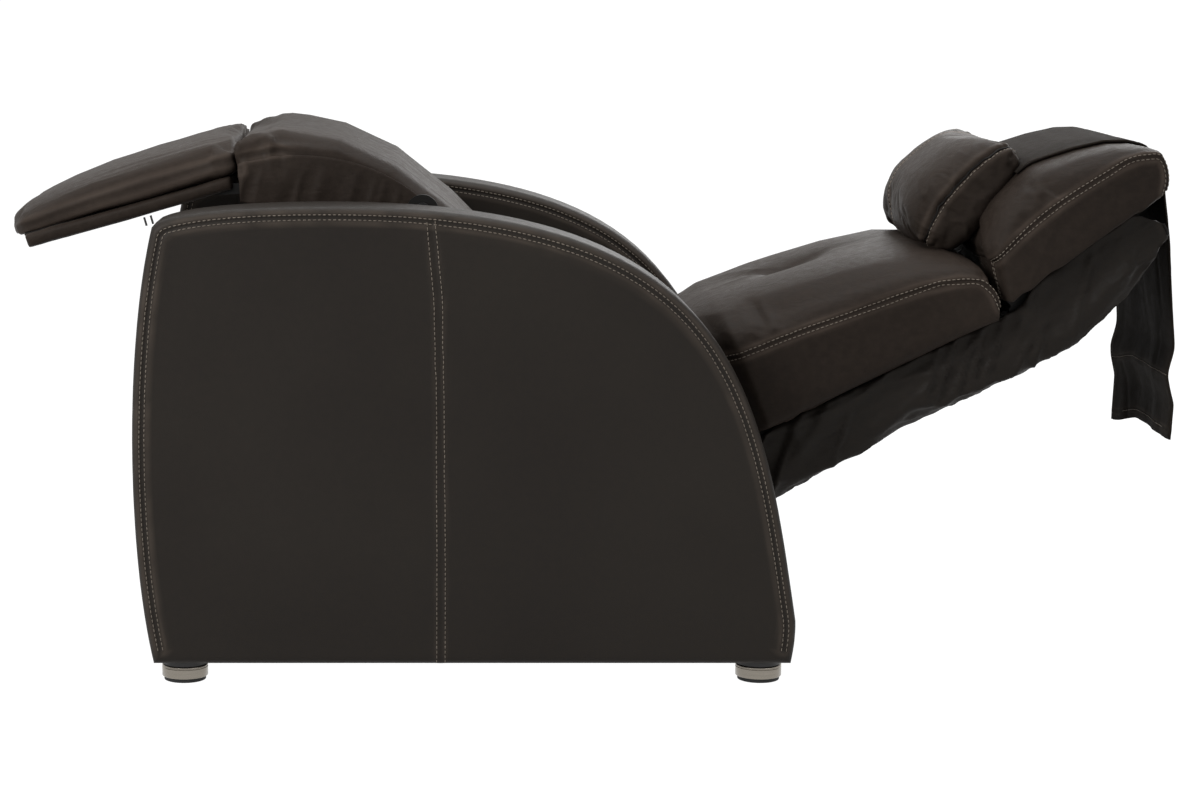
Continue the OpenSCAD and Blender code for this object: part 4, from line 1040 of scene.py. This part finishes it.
# %% Neck pillow
pillow_line = [[519, 621], [535, 673], [583, 727], [637, 763]]
pillow_pad = Pad(pillow_line, [[0, 162], [0.5, 176], [1, 164]], [[0, 64], [0.4, 72], [1, 54]],
                 [[0, 34], [0.35, 46], [0.7, 34], [1, 19]], (0.12, 0.6), (0.56, 0.4))
pillow = Made("pillow_leather", pillow_pad, 80, 60, step=5.0, cap=0.007)


def pillow_surface(p):
    near_cap = fade(np.abs(p[:, 1]), 0.08, 0.16)
    pulls = folds(p, (0.3, 1, 0.3), 0.14, 0.028, 42) - 0.35
    return 0.0012 * soft_noise(p * (9, 7, 9), 41) + 0.0022 * near_cap * pulls


push(pillow.obj, pillow_surface)
pillow_seams = []
CAP_COLUMN, PANEL_COLUMN = 6, 30
for side in (-1, 1):
    over = [(i, pillow.edge(side, -CAP_COLUMN)) for i in range(2, pillow.rings - 1)]
    pillow_seams.append(seam(pillow.path(over), rows=(-0.005,), deep=0.0042, wide=0.0034,
                             pucker=0.0014, worn_and_highlight=0.4, piped=True, number=side + 42))
ring_seam = pillow.path([(i, PANEL_COLUMN) for i in range(4, pillow.rings - 1)])
pillow_seams.append(seam(ring_seam, rows=(0.0,), deep=0.001, wide=0.0025, pucker=0.0004, worn_and_highlight=0.7))
sew(pillow.obj, "pillow", pillow_seams)
dress(pillow.obj, "pillow", ["neck_pillow"])

# %% [markdown]
# ## The drape
# A strip of leather is sewn to the back of the pillow, lies over the head cushion and hangs
# behind it. A weighted pocket at its end holds the pillow in place. It is one sheet, drawn column
# by column from the pillow to the hem. Over the cushion each point is dropped onto the real skin,
# so that the drape follows every swelling of it.

# %% Drape path
DRAPE_HALF, DRAPE_TH, DRAPE_ROWS = 172, 3, 150
head_surface_tree = surface_of(head.obj)
HANG = [[846, 745], [852, 702], [862, 632], [868, 549], [876, 473], [866, 432], [880, 389], [877, 333]]
POCKET_TOP = 0.432


def over_head(t, y, lift=2.2):
    """The point of the drape above place t of the head cushion, lying on its leather."""
    i = int(np.searchsorted(head_pad.t, t))
    mid, up = head_pad.middle[i], head_pad.up_way[i]
    above = Vector(((mid[0] + up[0] * 120) * MM, y * MM, (mid[1] + up[1] * 120) * MM))
    hit = head_surface_tree.ray_cast(above, Vector((-up[0], 0, -up[1])))[0]
    return np.array([hit.x / MM + up[0] * lift, y, hit.z / MM + up[1] * lift])


def drape_column(y):
    i = int(np.searchsorted(pillow_pad.t, 0.9))
    low = pillow_pad.middle[i] - pillow_pad.up_way[i] * (pillow_pad.down[i] + 6)
    line = [np.array([low[0], y, low[1]])]
    line += [over_head(t, y) for t in np.linspace(0.28, 0.6, 40)]
    for k, (x, z) in enumerate(HANG):
        q = k / (len(HANG) - 1)
        ripple = 3 * q * math.sin(math.radians(y * 1.3 + 30)) + 0.8 * q * math.sin(y * 0.07 + z * 0.01)
        droop = -20 * q * float(fade(y, 40, 170)) if k == len(HANG) - 1 else 0
        line.append(np.array([x + ripple - 6 * q * float(fade(y, -40, 170)), y * (1 - 0.03 * q), z + droop]))
    return rounded_path(np.array(line), DRAPE_ROWS, 5)


def clear_of_head(points, room=0.0022):
    """Lift any point that sank into the head cushion back onto its leather."""
    for k, p in enumerate(points):
        hit, normal, _, far = head_surface_tree.find_nearest(Vector(p))
        rise = (Vector(p) - hit).dot(normal)
        if far < 0.03 and rise < room:
            points[k] = hit + normal * room
    return points


print("drape path from", HANG[0], "to", HANG[-1])

# %% Drape sheet
ys = np.linspace(-DRAPE_HALF, DRAPE_HALF, 61)
columns = np.array([clear_of_head(drape_column(y) * MM) for y in ys])
rows, cols = columns.shape[1], columns.shape[0]
drape = mesh_object("drape_leather", columns.transpose(1, 0, 2).reshape(-1, 3), grid_faces(rows, cols),
                    drape_leather)
if sum(f.normal.x + f.normal.z for f in drape.data.polygons) < 0:
    drape.data.flip_normals()


def drape_waves(p):
    hanging = fade(0.74 - p[:, 2], 0, 0.15) * fade(p[:, 0], 0.8, 0.84)
    pocket = fade(POCKET_TOP - p[:, 2], 0, 0.03) * fade(p[:, 0], 0.8, 0.84)
    creases = folds(p, (0.1, 0.35, 1), 0.3, 0.05, 52) - 0.4
    return 0.0016 * hanging * creases + 0.0018 * pocket * np.cos(p[:, 1] * 18)


push(drape, drape_waves)
thicken(drape, DRAPE_TH * MM, 1)
print("drape sheet with", len(drape.data.polygons), "faces")

# %% Drape hems
pocket_row = int(np.argmin(np.abs(columns[cols // 2][:, 2] - POCKET_TOP) + (columns[cols // 2][:, 0] < 0.8)))
hem_row = rows - 4
drape_seams = [seam(columns[1:-1, row], rows=(0.0,), deep=0.001, wide=0.002, pucker=0.0003, worn_and_highlight=0.5,
                    number=row) for row in (pocket_row, hem_row)]
for j in (1, cols - 2):
    drape_seams.append(seam(columns[j, 8:hem_row], rows=(), deep=0.0006, wide=0.002, pucker=0.0002,
                            worn_and_highlight=0.3, number=j))
sew(drape, "pillow", drape_seams)
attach(drape, "pillow")
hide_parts("pillow_drape")

# %% [markdown]
# ## The cover under the back
# A loose leather cover hangs under the back like a hammock. It is a trough: two upright sides
# and a bottom that sags between them, gathered into small folds where it is sewn to the cushion.

# %% Back cover
cover_line = [[208, 236], [264, 232], [380, 335], [553, 401], [553, 401], [650, 435], [790, 520], [848, 651]]
bottom_line = even_points(bezier(cover_line, np.linspace(0, 1, 200)), 150)
top_points = [[236, 300]]
top_points += [on_plane(back_hinge, BACK_PITCH, a, BOX_BOTTOM - 1) for a in (150, 560)]
top_points += [[640, 560]] + [on_plane(head_root, HEAD_PITCH, a, -1) for a in (60, 238)] + [[838, 668]]
top_line = rounded_path(top_points, 150)
sections = []
for low, high in zip(bottom_line, top_line):
    tall = np.linalg.norm(high - low)
    r = min(26, tall * 0.45)
    wall = [(-COVER_HALF, v) for v in np.linspace(1, r / tall, 16)]
    bend = [(-COVER_HALF + r - r * math.cos(a), (r - r * math.sin(a)) / tall)
            for a in np.linspace(0, math.pi / 2, 9)[1:]]
    base = [(y, 0) for y in np.linspace(-COVER_HALF + r, 0, 40)[1:]]
    half_path = wall + bend + base
    path = half_path + [(-y, v) for y, v in half_path[-2::-1]]
    sections.append([(low[0] + (high[0] - low[0]) * v, y, low[1] + (high[1] - low[1]) * v)
                     for y, v in path])
sections = np.array(sections) * MM
rows, cols = sections.shape[:2]
cover = mesh_object("cover_leather", sections.reshape(-1, 3), grid_faces(rows, cols), cover_leather)
if sum(f.normal.z for f in cover.data.polygons if abs(f.center.y) < 0.1) > 0:
    cover.data.flip_normals()


def cover_folds(p):
    """Gathers hang from the sewn edge and fade out; broad sags cross the bottom."""
    wall = fade(np.abs(p[:, 1]), 0.2, 0.228)
    hem = p[:, 2] - (0.26 + 0.49 * (p[:, 0] - 0.15))
    near_hem = wall * (1 - fade(np.abs(hem), 0.03, 0.11))
    gathers = folds(p, (0.3, 0.1, 1), 0.12, 0.02, 62) - 0.3
    sags = folds(p, (1, 0.2, 0.5), 0.26, 0.034, 63) - 0.4
    fine = folds(p, (1, 0.3, 0.7), 0.12, 0.016, 65) - 0.4
    return (0.0085 * near_hem * gathers + 0.0075 * sags + 0.003 * fine
            + 0.0025 * soft_noise(p * (22, 10, 22), 64))


push(cover, cover_folds)
thicken(cover, 0.006, -1)
sew(cover, "back", [seam(sections[-1], rows=(), deep=0.0, pucker=0.0, worn_and_highlight=0.2, piped=True, number=71)])
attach(cover, "back")
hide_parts("back_cover")
print("cover with", len(cover.data.polygons), "faces")

# %% [markdown]
# ## The side panels
# A side panel is a board wrapped in foam and leather. Seen from the side it is one flat sheet
# with rolled edges, and a seam follows the edge just inside the roll. The flat part is a grid
# stretched between the four edges; the roll is a set of loops, each a little further out and
# lower. The grid is finer where the upright seam crosses the panel.

# %% Panel outline
ARM_X, ARM_LEN, FOOT_H, ARM_RISE, ARM_IN, ARM_OUT = -685, 970, 34, 672, 270, 380
front_edge = [[0.029, 0], [-0.009, 0.241], [-0.011, 0.692], [0.034, 0.955]]
front_corner = [[0.034, 0.955], [0.041, 0.979], [0.129, 1], [0.294, 1]]
top_sweep = [[0.294, 1], [0.897, 1], [0.941, 0.64], [1, 0.095]]
rear_edge = [[1, 0.095], [1.001, 0.06], [0.998, 0.03], [0.994, 0]]


def arm_curve(parts, inset):
    many = np.concatenate([bezier(p, np.linspace(0, 1, 200)) for p in parts])
    size = np.array([ARM_LEN - 2 * inset, ARM_RISE - 2 * inset])
    return np.array([ARM_X + inset, FOOT_H + inset]) + many * size


def spread_marks(length, seam_at, coarse, fine):
    """Marks from 0 to length that crowd round seam_at."""
    marks, at = [0.0], 0.0
    while at < length:
        near = abs(at - seam_at)
        at += fine + (coarse - fine) * min(1, max(0, (near - 12) / 60))
        marks.append(at)
    return np.array(marks) * length / marks[-1]


def edge_points(curve, marks):
    run = lengths_along(curve)
    marks = marks * run[-1] / marks[-1]
    return np.stack([np.interp(marks, run, curve[:, k]) for k in (0, 1)], axis=1)


def arm_loop(inset):
    """Bottom, rear, top and front edges of the panel at an inset, with matching points."""
    top = arm_curve([front_corner, top_sweep], inset)
    front = arm_curve([front_edge], inset)
    rear = arm_curve([rear_edge], inset)[::-1]
    bottom = np.linspace(front[0], rear[0], 400)
    marks = spread_marks(1000, 450, 14, 3.4)
    top_run = lengths_along(top)
    seam_top = top_run[np.argmin(np.abs(top[:, 0] + 252))]
    seam_low = -235 - bottom[0, 0]
    low_run = lengths_along(bottom)
    to_top = np.interp(marks, [0, 400, 450, 500, 1000],
                       [0, seam_top - 45, seam_top, seam_top + 45, top_run[-1]])
    to_low = np.interp(marks, [0, 400, 450, 500, 1000],
                       [0, seam_low - 45, seam_low, seam_low + 45, low_run[-1]])
    up = np.linspace(0, 1, 56)
    return (edge_points(bottom, to_low), edge_points(top, to_top), edge_points(front, up),
            edge_points(rear, up))


print("panel outline", ARM_LEN, "by", ARM_RISE, "mm")


# %% Panel grid and roll
def arm_patch(inset):
    low, top, front, rear = arm_loop(inset)
    u = lengths_along(low) / lengths_along(low)[-1]
    v = np.linspace(0, 1, len(front))
    u, v = u[:, None, None], v[None, :, None]
    low, top, front, rear = low[:, None], top[:, None], front[None], rear[None]
    corners = ((1 - u) * (1 - v) * low[0, 0] + u * (1 - v) * low[-1, 0]
               + (1 - u) * v * top[0, 0] + u * v * top[-1, 0])
    return (1 - v) * low + v * top + (1 - u) * front + u * rear - corners


def around(low, top, front, rear):
    """One closed loop of points from the four edges."""
    return np.concatenate([low, rear[1:], top[-2::-1], front[-2:0:-1]])


ROLL, RIM, SEAM_ABOVE_FLOOR_EDGE = 12.0, 15.0, 22
ARM_TOP = FOOT_H + ARM_RISE
insets = [30, 25, 21, 18, 15.5, 13, 10.5, 8, 5.5, 3.2, 1.4, 0.35, 0]
lift = [0.0 if d >= ROLL else ROLL - math.sqrt(ROLL ** 2 - (ROLL - d) ** 2) for d in insets]
across = np.linspace(ARM_OUT - ROLL, ARM_IN + ROLL, 10)[1:-1]


def arm_points():
    """The +Y panel's flat grid, and the loops over its roll from the outer to the inner face."""
    patch = arm_patch(insets[0])
    loops = [(around(*arm_loop(d)), ARM_OUT - h) for d, h in zip(insets[1:], lift[1:])]
    loops += [(around(*arm_loop(0)), y) for y in across]
    loops += [(around(*arm_loop(d)), ARM_IN + h) for d, h in zip(insets[:0:-1], lift[:0:-1])]
    return patch, loops


print("panel roll of", len(insets), "loops on either face")


# %% Side panels
def arm_shell(name, side):
    """The closed shell: outer face, loops over the roll, inner face."""
    patch, loops = arm_points()
    n, m = patch.shape[:2]
    rim = last = grid_rim(n, m)
    points = [(p[0], ARM_OUT, p[1]) for p in patch.reshape(-1, 2)]
    faces = [(a, d, c, b) for a, b, c, d in grid_faces(n, m)]
    for loop, y in loops:
        now = [len(points) + k for k in range(len(loop))]
        points += [(p[0], y, p[1]) for p in loop]
        faces += band(last, now)
        last = now
    start = len(points)
    points += [(p[0], ARM_IN, p[1]) for p in patch.reshape(-1, 2)]
    faces += band(last, [start + k for k in rim]) + grid_faces(n, m, start)
    points = np.array(points, float) * MM
    points[:, 1] *= side
    return mesh_object(name, points, faces, panel_leather)


def make_arm(name, side):
    made = arm_shell(name, side)
    edge = even_points(around(*arm_loop(0)), step=3.0)
    inward = leftward(slope(edge))
    if (inward[10] @ (np.array([-200, 350]) - edge[10])) < 0:
        inward = -inward
    seams = []
    for y in (ARM_OUT, ARM_IN):
        line = edge + inward * RIM
        keep = line[:, 1] > FOOT_H + SEAM_ABOVE_FLOOR_EDGE
        first = int(np.argmax(keep & ~np.roll(keep, 1)))
        keep, line = np.roll(keep, -first), np.roll(line, -first, axis=0)
        line = line[:int(np.argmin(keep))]
        path = np.stack([line[:, 0], np.full(len(line), side * y), line[:, 1]], axis=1) * MM
        seams.append(seam(path, deep=0.002, wide=0.003, pucker=0.0002, worn_and_highlight=0.55, number=int(y)))
    upright = even_points([[-252, 699], [-240, 572], [-237, 427], [-235, 205], [-235, 38]], step=4.0)
    upright = upright[upright[:, 1] < ARM_TOP - RIM - 4]
    path = np.stack([upright[:, 0], np.full(len(upright), side * ARM_OUT), upright[:, 1]], axis=1) * MM
    seams.append(seam(path, rows=(-0.0062, 0.0062), deep=0.0018, wide=0.0026, pucker=0.0001, worn_and_highlight=0.25))
    sew(made, "base", seams)
    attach(made, "base")
    return made


arm_left = make_arm("panel_left", -1)
arm_right = make_arm("panel_right", 1)
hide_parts("arm_cover_left")
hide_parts("arm_cover_right")
print("side panels with", len(arm_left.data.polygons), "faces each")

# %% [markdown]
# ## Bare parts
# The steel, plywood, plastic and rubber parts keep their solids and get a surface each. Every
# surface has a grain of its own: powder coat has orange peel, brushed metal has fine lines,
# plywood has rings.


# %% Surfaces of the bare parts
def speckled(name, colour, rough, metallic=0.0, peel=400.0, height=0.00015, vary=0.12,
             stretch=(1, 1, 1), **sockets):
    made, tree, shader, place = material(name, rough, metallic, **sockets)
    tone = clouds(tree, place, 24, 4, stretch)
    darker = tuple(c * (1 - vary) for c in colour[:3]) + (1,)
    lighter = tuple(min(1, c * (1 + vary)) for c in colour[:3]) + (1,)
    tree.links.new(blend_colour(tree, span(tree, tone, 0.3, 0.7, 0, 1), darker, lighter),
                   shader.inputs["Base Color"])
    tree.links.new(span(tree, tone, 0.3, 0.7, max(0.05, rough - 0.06), rough + 0.06),
                   shader.inputs["Roughness"])
    grain = clouds(tree, place, peel, 3, stretch)
    tree.links.new(bump(tree, grain, 0.35, height), shader.inputs["Normal"])
    return made


def plywood_sheet(name):
    made, tree, shader, place = material(name, 0.6)
    rings = node(tree, "ShaderNodeTexWave", {"Vector": place, "Scale": 9.0, "Distortion": 6.0,
                                             "Detail": 4.0, "Detail Scale": 1.6},
                 wave_type="BANDS", bands_direction="Y").outputs["Fac"]
    tone = blend_colour(tree, rings, srgb(172, 132, 88), srgb(204, 168, 122))
    tree.links.new(tone, shader.inputs["Base Color"])
    tree.links.new(bump(tree, clouds(tree, place, 300, 4, (1, 6, 6)), 0.4, 0.0003), shader.inputs["Normal"])
    return made


finishes = {
    "plywood": plywood_sheet("plywood"),
    # brushed nickel, its colour darkened as painted shade from the side panels above the feet
    "nickel": speckled("brushed nickel", srgb(134, 128, 119), 0.27, 1.0, 900, 0.00004, 0.08, (1, 1, 14)),
    "black_plastic": speckled("black plastic", srgb(26, 25, 25), 0.5),
    "pad_rubber": speckled("rubber", srgb(20, 20, 20), 0.8, peel=700),
    "roller_rubber": speckled("roller rubber", srgb(136, 108, 74), 0.7, peel=500),
    "bright_steel": speckled("bright steel", srgb(176, 178, 180), 0.3, 1.0, 700, 0.00004, 0.06, (1, 9, 1)),
    # the frame's dark coat is made near-black as painted shade, where the frame shows under the calf leather
    "frame_paint": speckled("powder coat", srgb(22, 21, 20), 0.6, peel=620, height=0.0002,
                            Specular_IOR_Level=0.15),
    "bronze": speckled("sintered bronze", srgb(176, 128, 70), 0.4, 1.0, 900),
    "box_metal": speckled("satin box", srgb(84, 85, 88), 0.4, 0.6, 500),
    "box_plastic": speckled("board box", srgb(52, 62, 56), 0.5),
    "actuator_metal": speckled("anodised tube", srgb(132, 134, 138), 0.36, 0.9, 800, 0.00005, 0.05,
                               (1, 1, 8)),
    "button_plastic": speckled("button plastic", srgb(140, 143, 146), 0.42),
    "panel_leather": panel_leather,
    "lining": speckled("lining cloth", srgb(24, 22, 21), 0.9, peel=1500, height=0.0003),
    "black_oxide": speckled("blackened steel", srgb(30, 30, 31), 0.4, 0.4, 700),
}
print(len(finishes), "finishes")

# %% Which part wears which
wearing = {
    "plywood": "arm_frame_left arm_frame_right seat_deck",
    "nickel": "foot_rings",
    "lining": "calf_board head_board",
    "black_oxide": "knee_pins back_hinge_pins foot_hinge_pins",
    "black_plastic": "foot_collars mains_inlet control_plate massage_carriage zip_tails",
    "pad_rubber": "foot_pads",
    "roller_rubber": "massage_rollers",
    "bright_steel": "foot_studs crossbar_bolts pivot_axle_left pivot_axle_right "
                    "guide_rods traverse_screw tilt_actuator_rod "
                    "leg_actuator_rod back_actuator_rod",
    "frame_paint": "front_crossbar middle_crossbar rear_crossbar seat_frame calf_frame foot_frame back_frame",
    "bronze": "pivot_bushes",
    "box_metal": "power_supply traverse_motor seat_vibrators calf_vibrators",
    "box_plastic": "control_box",
    "actuator_metal": "tilt_actuator_body leg_actuator_body back_actuator_body",
    "button_plastic": "button_recline button_upright button_legs_up button_legs_down button_massage "
                      "button_heat",
    "panel_leather": "front_panel rear_panel",
}
for slot, names in wearing.items():
    for name in names.split():
        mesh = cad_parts[name].data
        for k in range(max(1, len(mesh.materials))):
            if k < len(mesh.materials):
                mesh.materials[k] = finishes[slot]
            else:
                mesh.materials.append(finishes[slot])
print("finishes on", sum(len(n.split()) for n in wearing.values()), "bare parts")

# %% [markdown]
# ## Feet
# Each foot is turned: a brushed ring with eased edges and a fine groove, a dark collar above it
# and a rubber pad below. A profile of radius and height is spun about the foot's own axis.


# %% Feet
RING_R = 34.0


def foot_centres():
    low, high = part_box("foot_rings")
    r = RING_R * MM
    return [(x, y) for x in (low[0] + r, high[0] - r) for y in (low[1] + r, high[1] - r)]


def spin(name, profile, finish, stands_for, around=72):
    """Four closed turned shapes, from (radius, height) points in millimetres."""
    points, faces = [], []
    count = len(profile)
    for cx, cy in foot_centres():
        start = len(points)
        for k in range(around):
            a = 2 * math.pi * k / around
            points += [(cx + r * MM * math.cos(a), cy + r * MM * math.sin(a), h * MM) for r, h in profile]
        for k in range(around):
            here, there = start + k * count, start + (k + 1) % around * count
            faces += [(here + m, there + m, there + m + 1, here + m + 1) for m in range(count - 1)]
        for m in (0, count - 1):
            faces.append([start + k * count + m for k in range(around)])
    made = mesh_object(name, points, faces, finish)
    made.data.set_sharp_from_angle(angle=math.radians(40))
    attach(made, "base")
    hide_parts(stands_for)
    print(name, "with", len(made.data.polygons), "faces")


ring_profile = [(32.4, 6), (33.4, 6.3), (34, 7.2), (34, 19.6), (33.3, 20.2), (33.3, 21), (34, 21.6),
                (34, 22.8), (33.4, 23.7), (32.4, 24)]
spin("foot_rings_turned", ring_profile, finishes["nickel"], "foot_rings")
spin("foot_collars_turned", [(31, 24), (32, 24.5), (32, 33.4), (31.4, 34)], finishes["black_plastic"],
     "foot_collars")
spin("foot_pads_turned", [(29.5, 0), (30.6, 0.5), (31, 1.4), (31, 6)], finishes["pad_rubber"],
     "foot_pads")

# %% [markdown]
# ## Stitches
# There are thousands of stitches, all alike, so Geometry Nodes makes them. The seam rows go in
# as bare lines; the tree spaces points along them, sets a small bead of thread on each, turned
# along the row, and joins everything into one mesh for each part of the chair that moves.


# %% Stitch tree
def start_tree(name, sizes):
    """A tree that takes seam rows and some sizes, and turns the rows into curves."""
    tree = bpy.data.node_groups.new(name, "GeometryNodeTree")
    face = tree.interface
    face.new_socket("Seam rows", in_out="INPUT", socket_type="NodeSocketGeometry")
    for label, size in sizes.items():
        face.new_socket(label, in_out="INPUT", socket_type="NodeSocketFloat").default_value = size
    face.new_socket("Thread", in_out="OUTPUT", socket_type="NodeSocketGeometry")
    given = node(tree, "NodeGroupInput").outputs
    return tree, given, node(tree, "GeometryNodeMeshToCurve", {"Mesh": given["Seam rows"]})


def end_tree(tree, shape, surface):
    """Turn the tree's shapes into one real mesh and give it its surface."""
    real = node(tree, "GeometryNodeRealizeInstances", {"Geometry": shape.outputs[0]})
    done = node(tree, "GeometryNodeSetMaterial", {"Geometry": real.outputs[0], "Material": surface})
    node(tree, "NodeGroupOutput", {"Thread": done.outputs[0]})
    return tree


def stitch_tree():
    tree, given, line = start_tree("stitches", {"Pitch": 0.0072, "Stitch length": 0.0056,
                                                "Thread width": 0.0019, "Thread height": 0.0014})
    even = node(tree, "GeometryNodeResampleCurve", {"Curve": line.outputs[0], "Length": given["Pitch"]},
                mode="LENGTH")
    bead = node(tree, "GeometryNodeMeshUVSphere", {"Segments": 6, "Rings": 4, "Radius": 0.5})
    way = node(tree, "GeometryNodeInputTangent")
    turn = node(tree, "FunctionNodeAlignRotationToVector", {"Vector": way.outputs[0]}, axis="X")
    size = node(tree, "ShaderNodeCombineXYZ", {"X": given["Stitch length"], "Y": given["Thread width"],
                                               "Z": given["Thread height"]})
    beads = node(tree, "GeometryNodeInstanceOnPoints",
                 {"Points": even.outputs[0], "Instance": bead.outputs["Mesh"],
                  "Rotation": turn.outputs[0], "Scale": size.outputs[0]})
    return end_tree(tree, beads, thread)


stitches = stitch_tree()
print("stitch tree with", len(stitches.nodes), "nodes")


# %% Growing the stitches
def lines_object(name, lines):
    points, edges = [], []
    for line in lines:
        edges += [(len(points) + k, len(points) + k + 1) for k in range(len(line) - 1)]
        points += [tuple(p) for p in line]
    mesh = bpy.data.meshes.new(name)
    mesh.from_pydata(points, edges, [])
    made = bpy.data.objects.new(name, mesh)
    scene.collection.objects.link(made)
    return made


def grow(name, lines, tree, body):
    """Run a node tree on some lines and keep the plain mesh it makes."""
    made = lines_object(name, lines)
    maker = made.modifiers.new("maker", "NODES")
    maker.node_group = tree
    mesh = bake(made)
    mesh.shade_smooth()
    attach(made, body)
    return mesh


for body, lines in stitch_rows.items():
    beads = grow("stitches_" + body, lines, stitches, body)
    print("stitches on", body + ":", len(beads.polygons) // 24)

# %% [markdown]
# ## Piping
# Piping is a cord in a strip of leather, caught in a seam so that it stands proud of it. A second
# tree sweeps a small circle along the lines that `sew` kept for it.


# %% Piping tree
def piping_tree():
    tree, given, line = start_tree("piping", {"Cord radius": 0.0021})
    ring = node(tree, "GeometryNodeCurvePrimitiveCircle", {"Resolution": 10, "Radius": given["Cord radius"]})
    tube = node(tree, "GeometryNodeCurveToMesh", {"Curve": line.outputs[0], "Profile Curve": ring.outputs[0],
                                                  "Fill Caps": True})
    return end_tree(tree, tube, piping_leather)


piping = piping_tree()
for body, lines in piping_rows.items():
    cord = grow("piping_" + body, lines, piping, body)
    print("piping on", body + ":", len(cord.polygons), "faces")
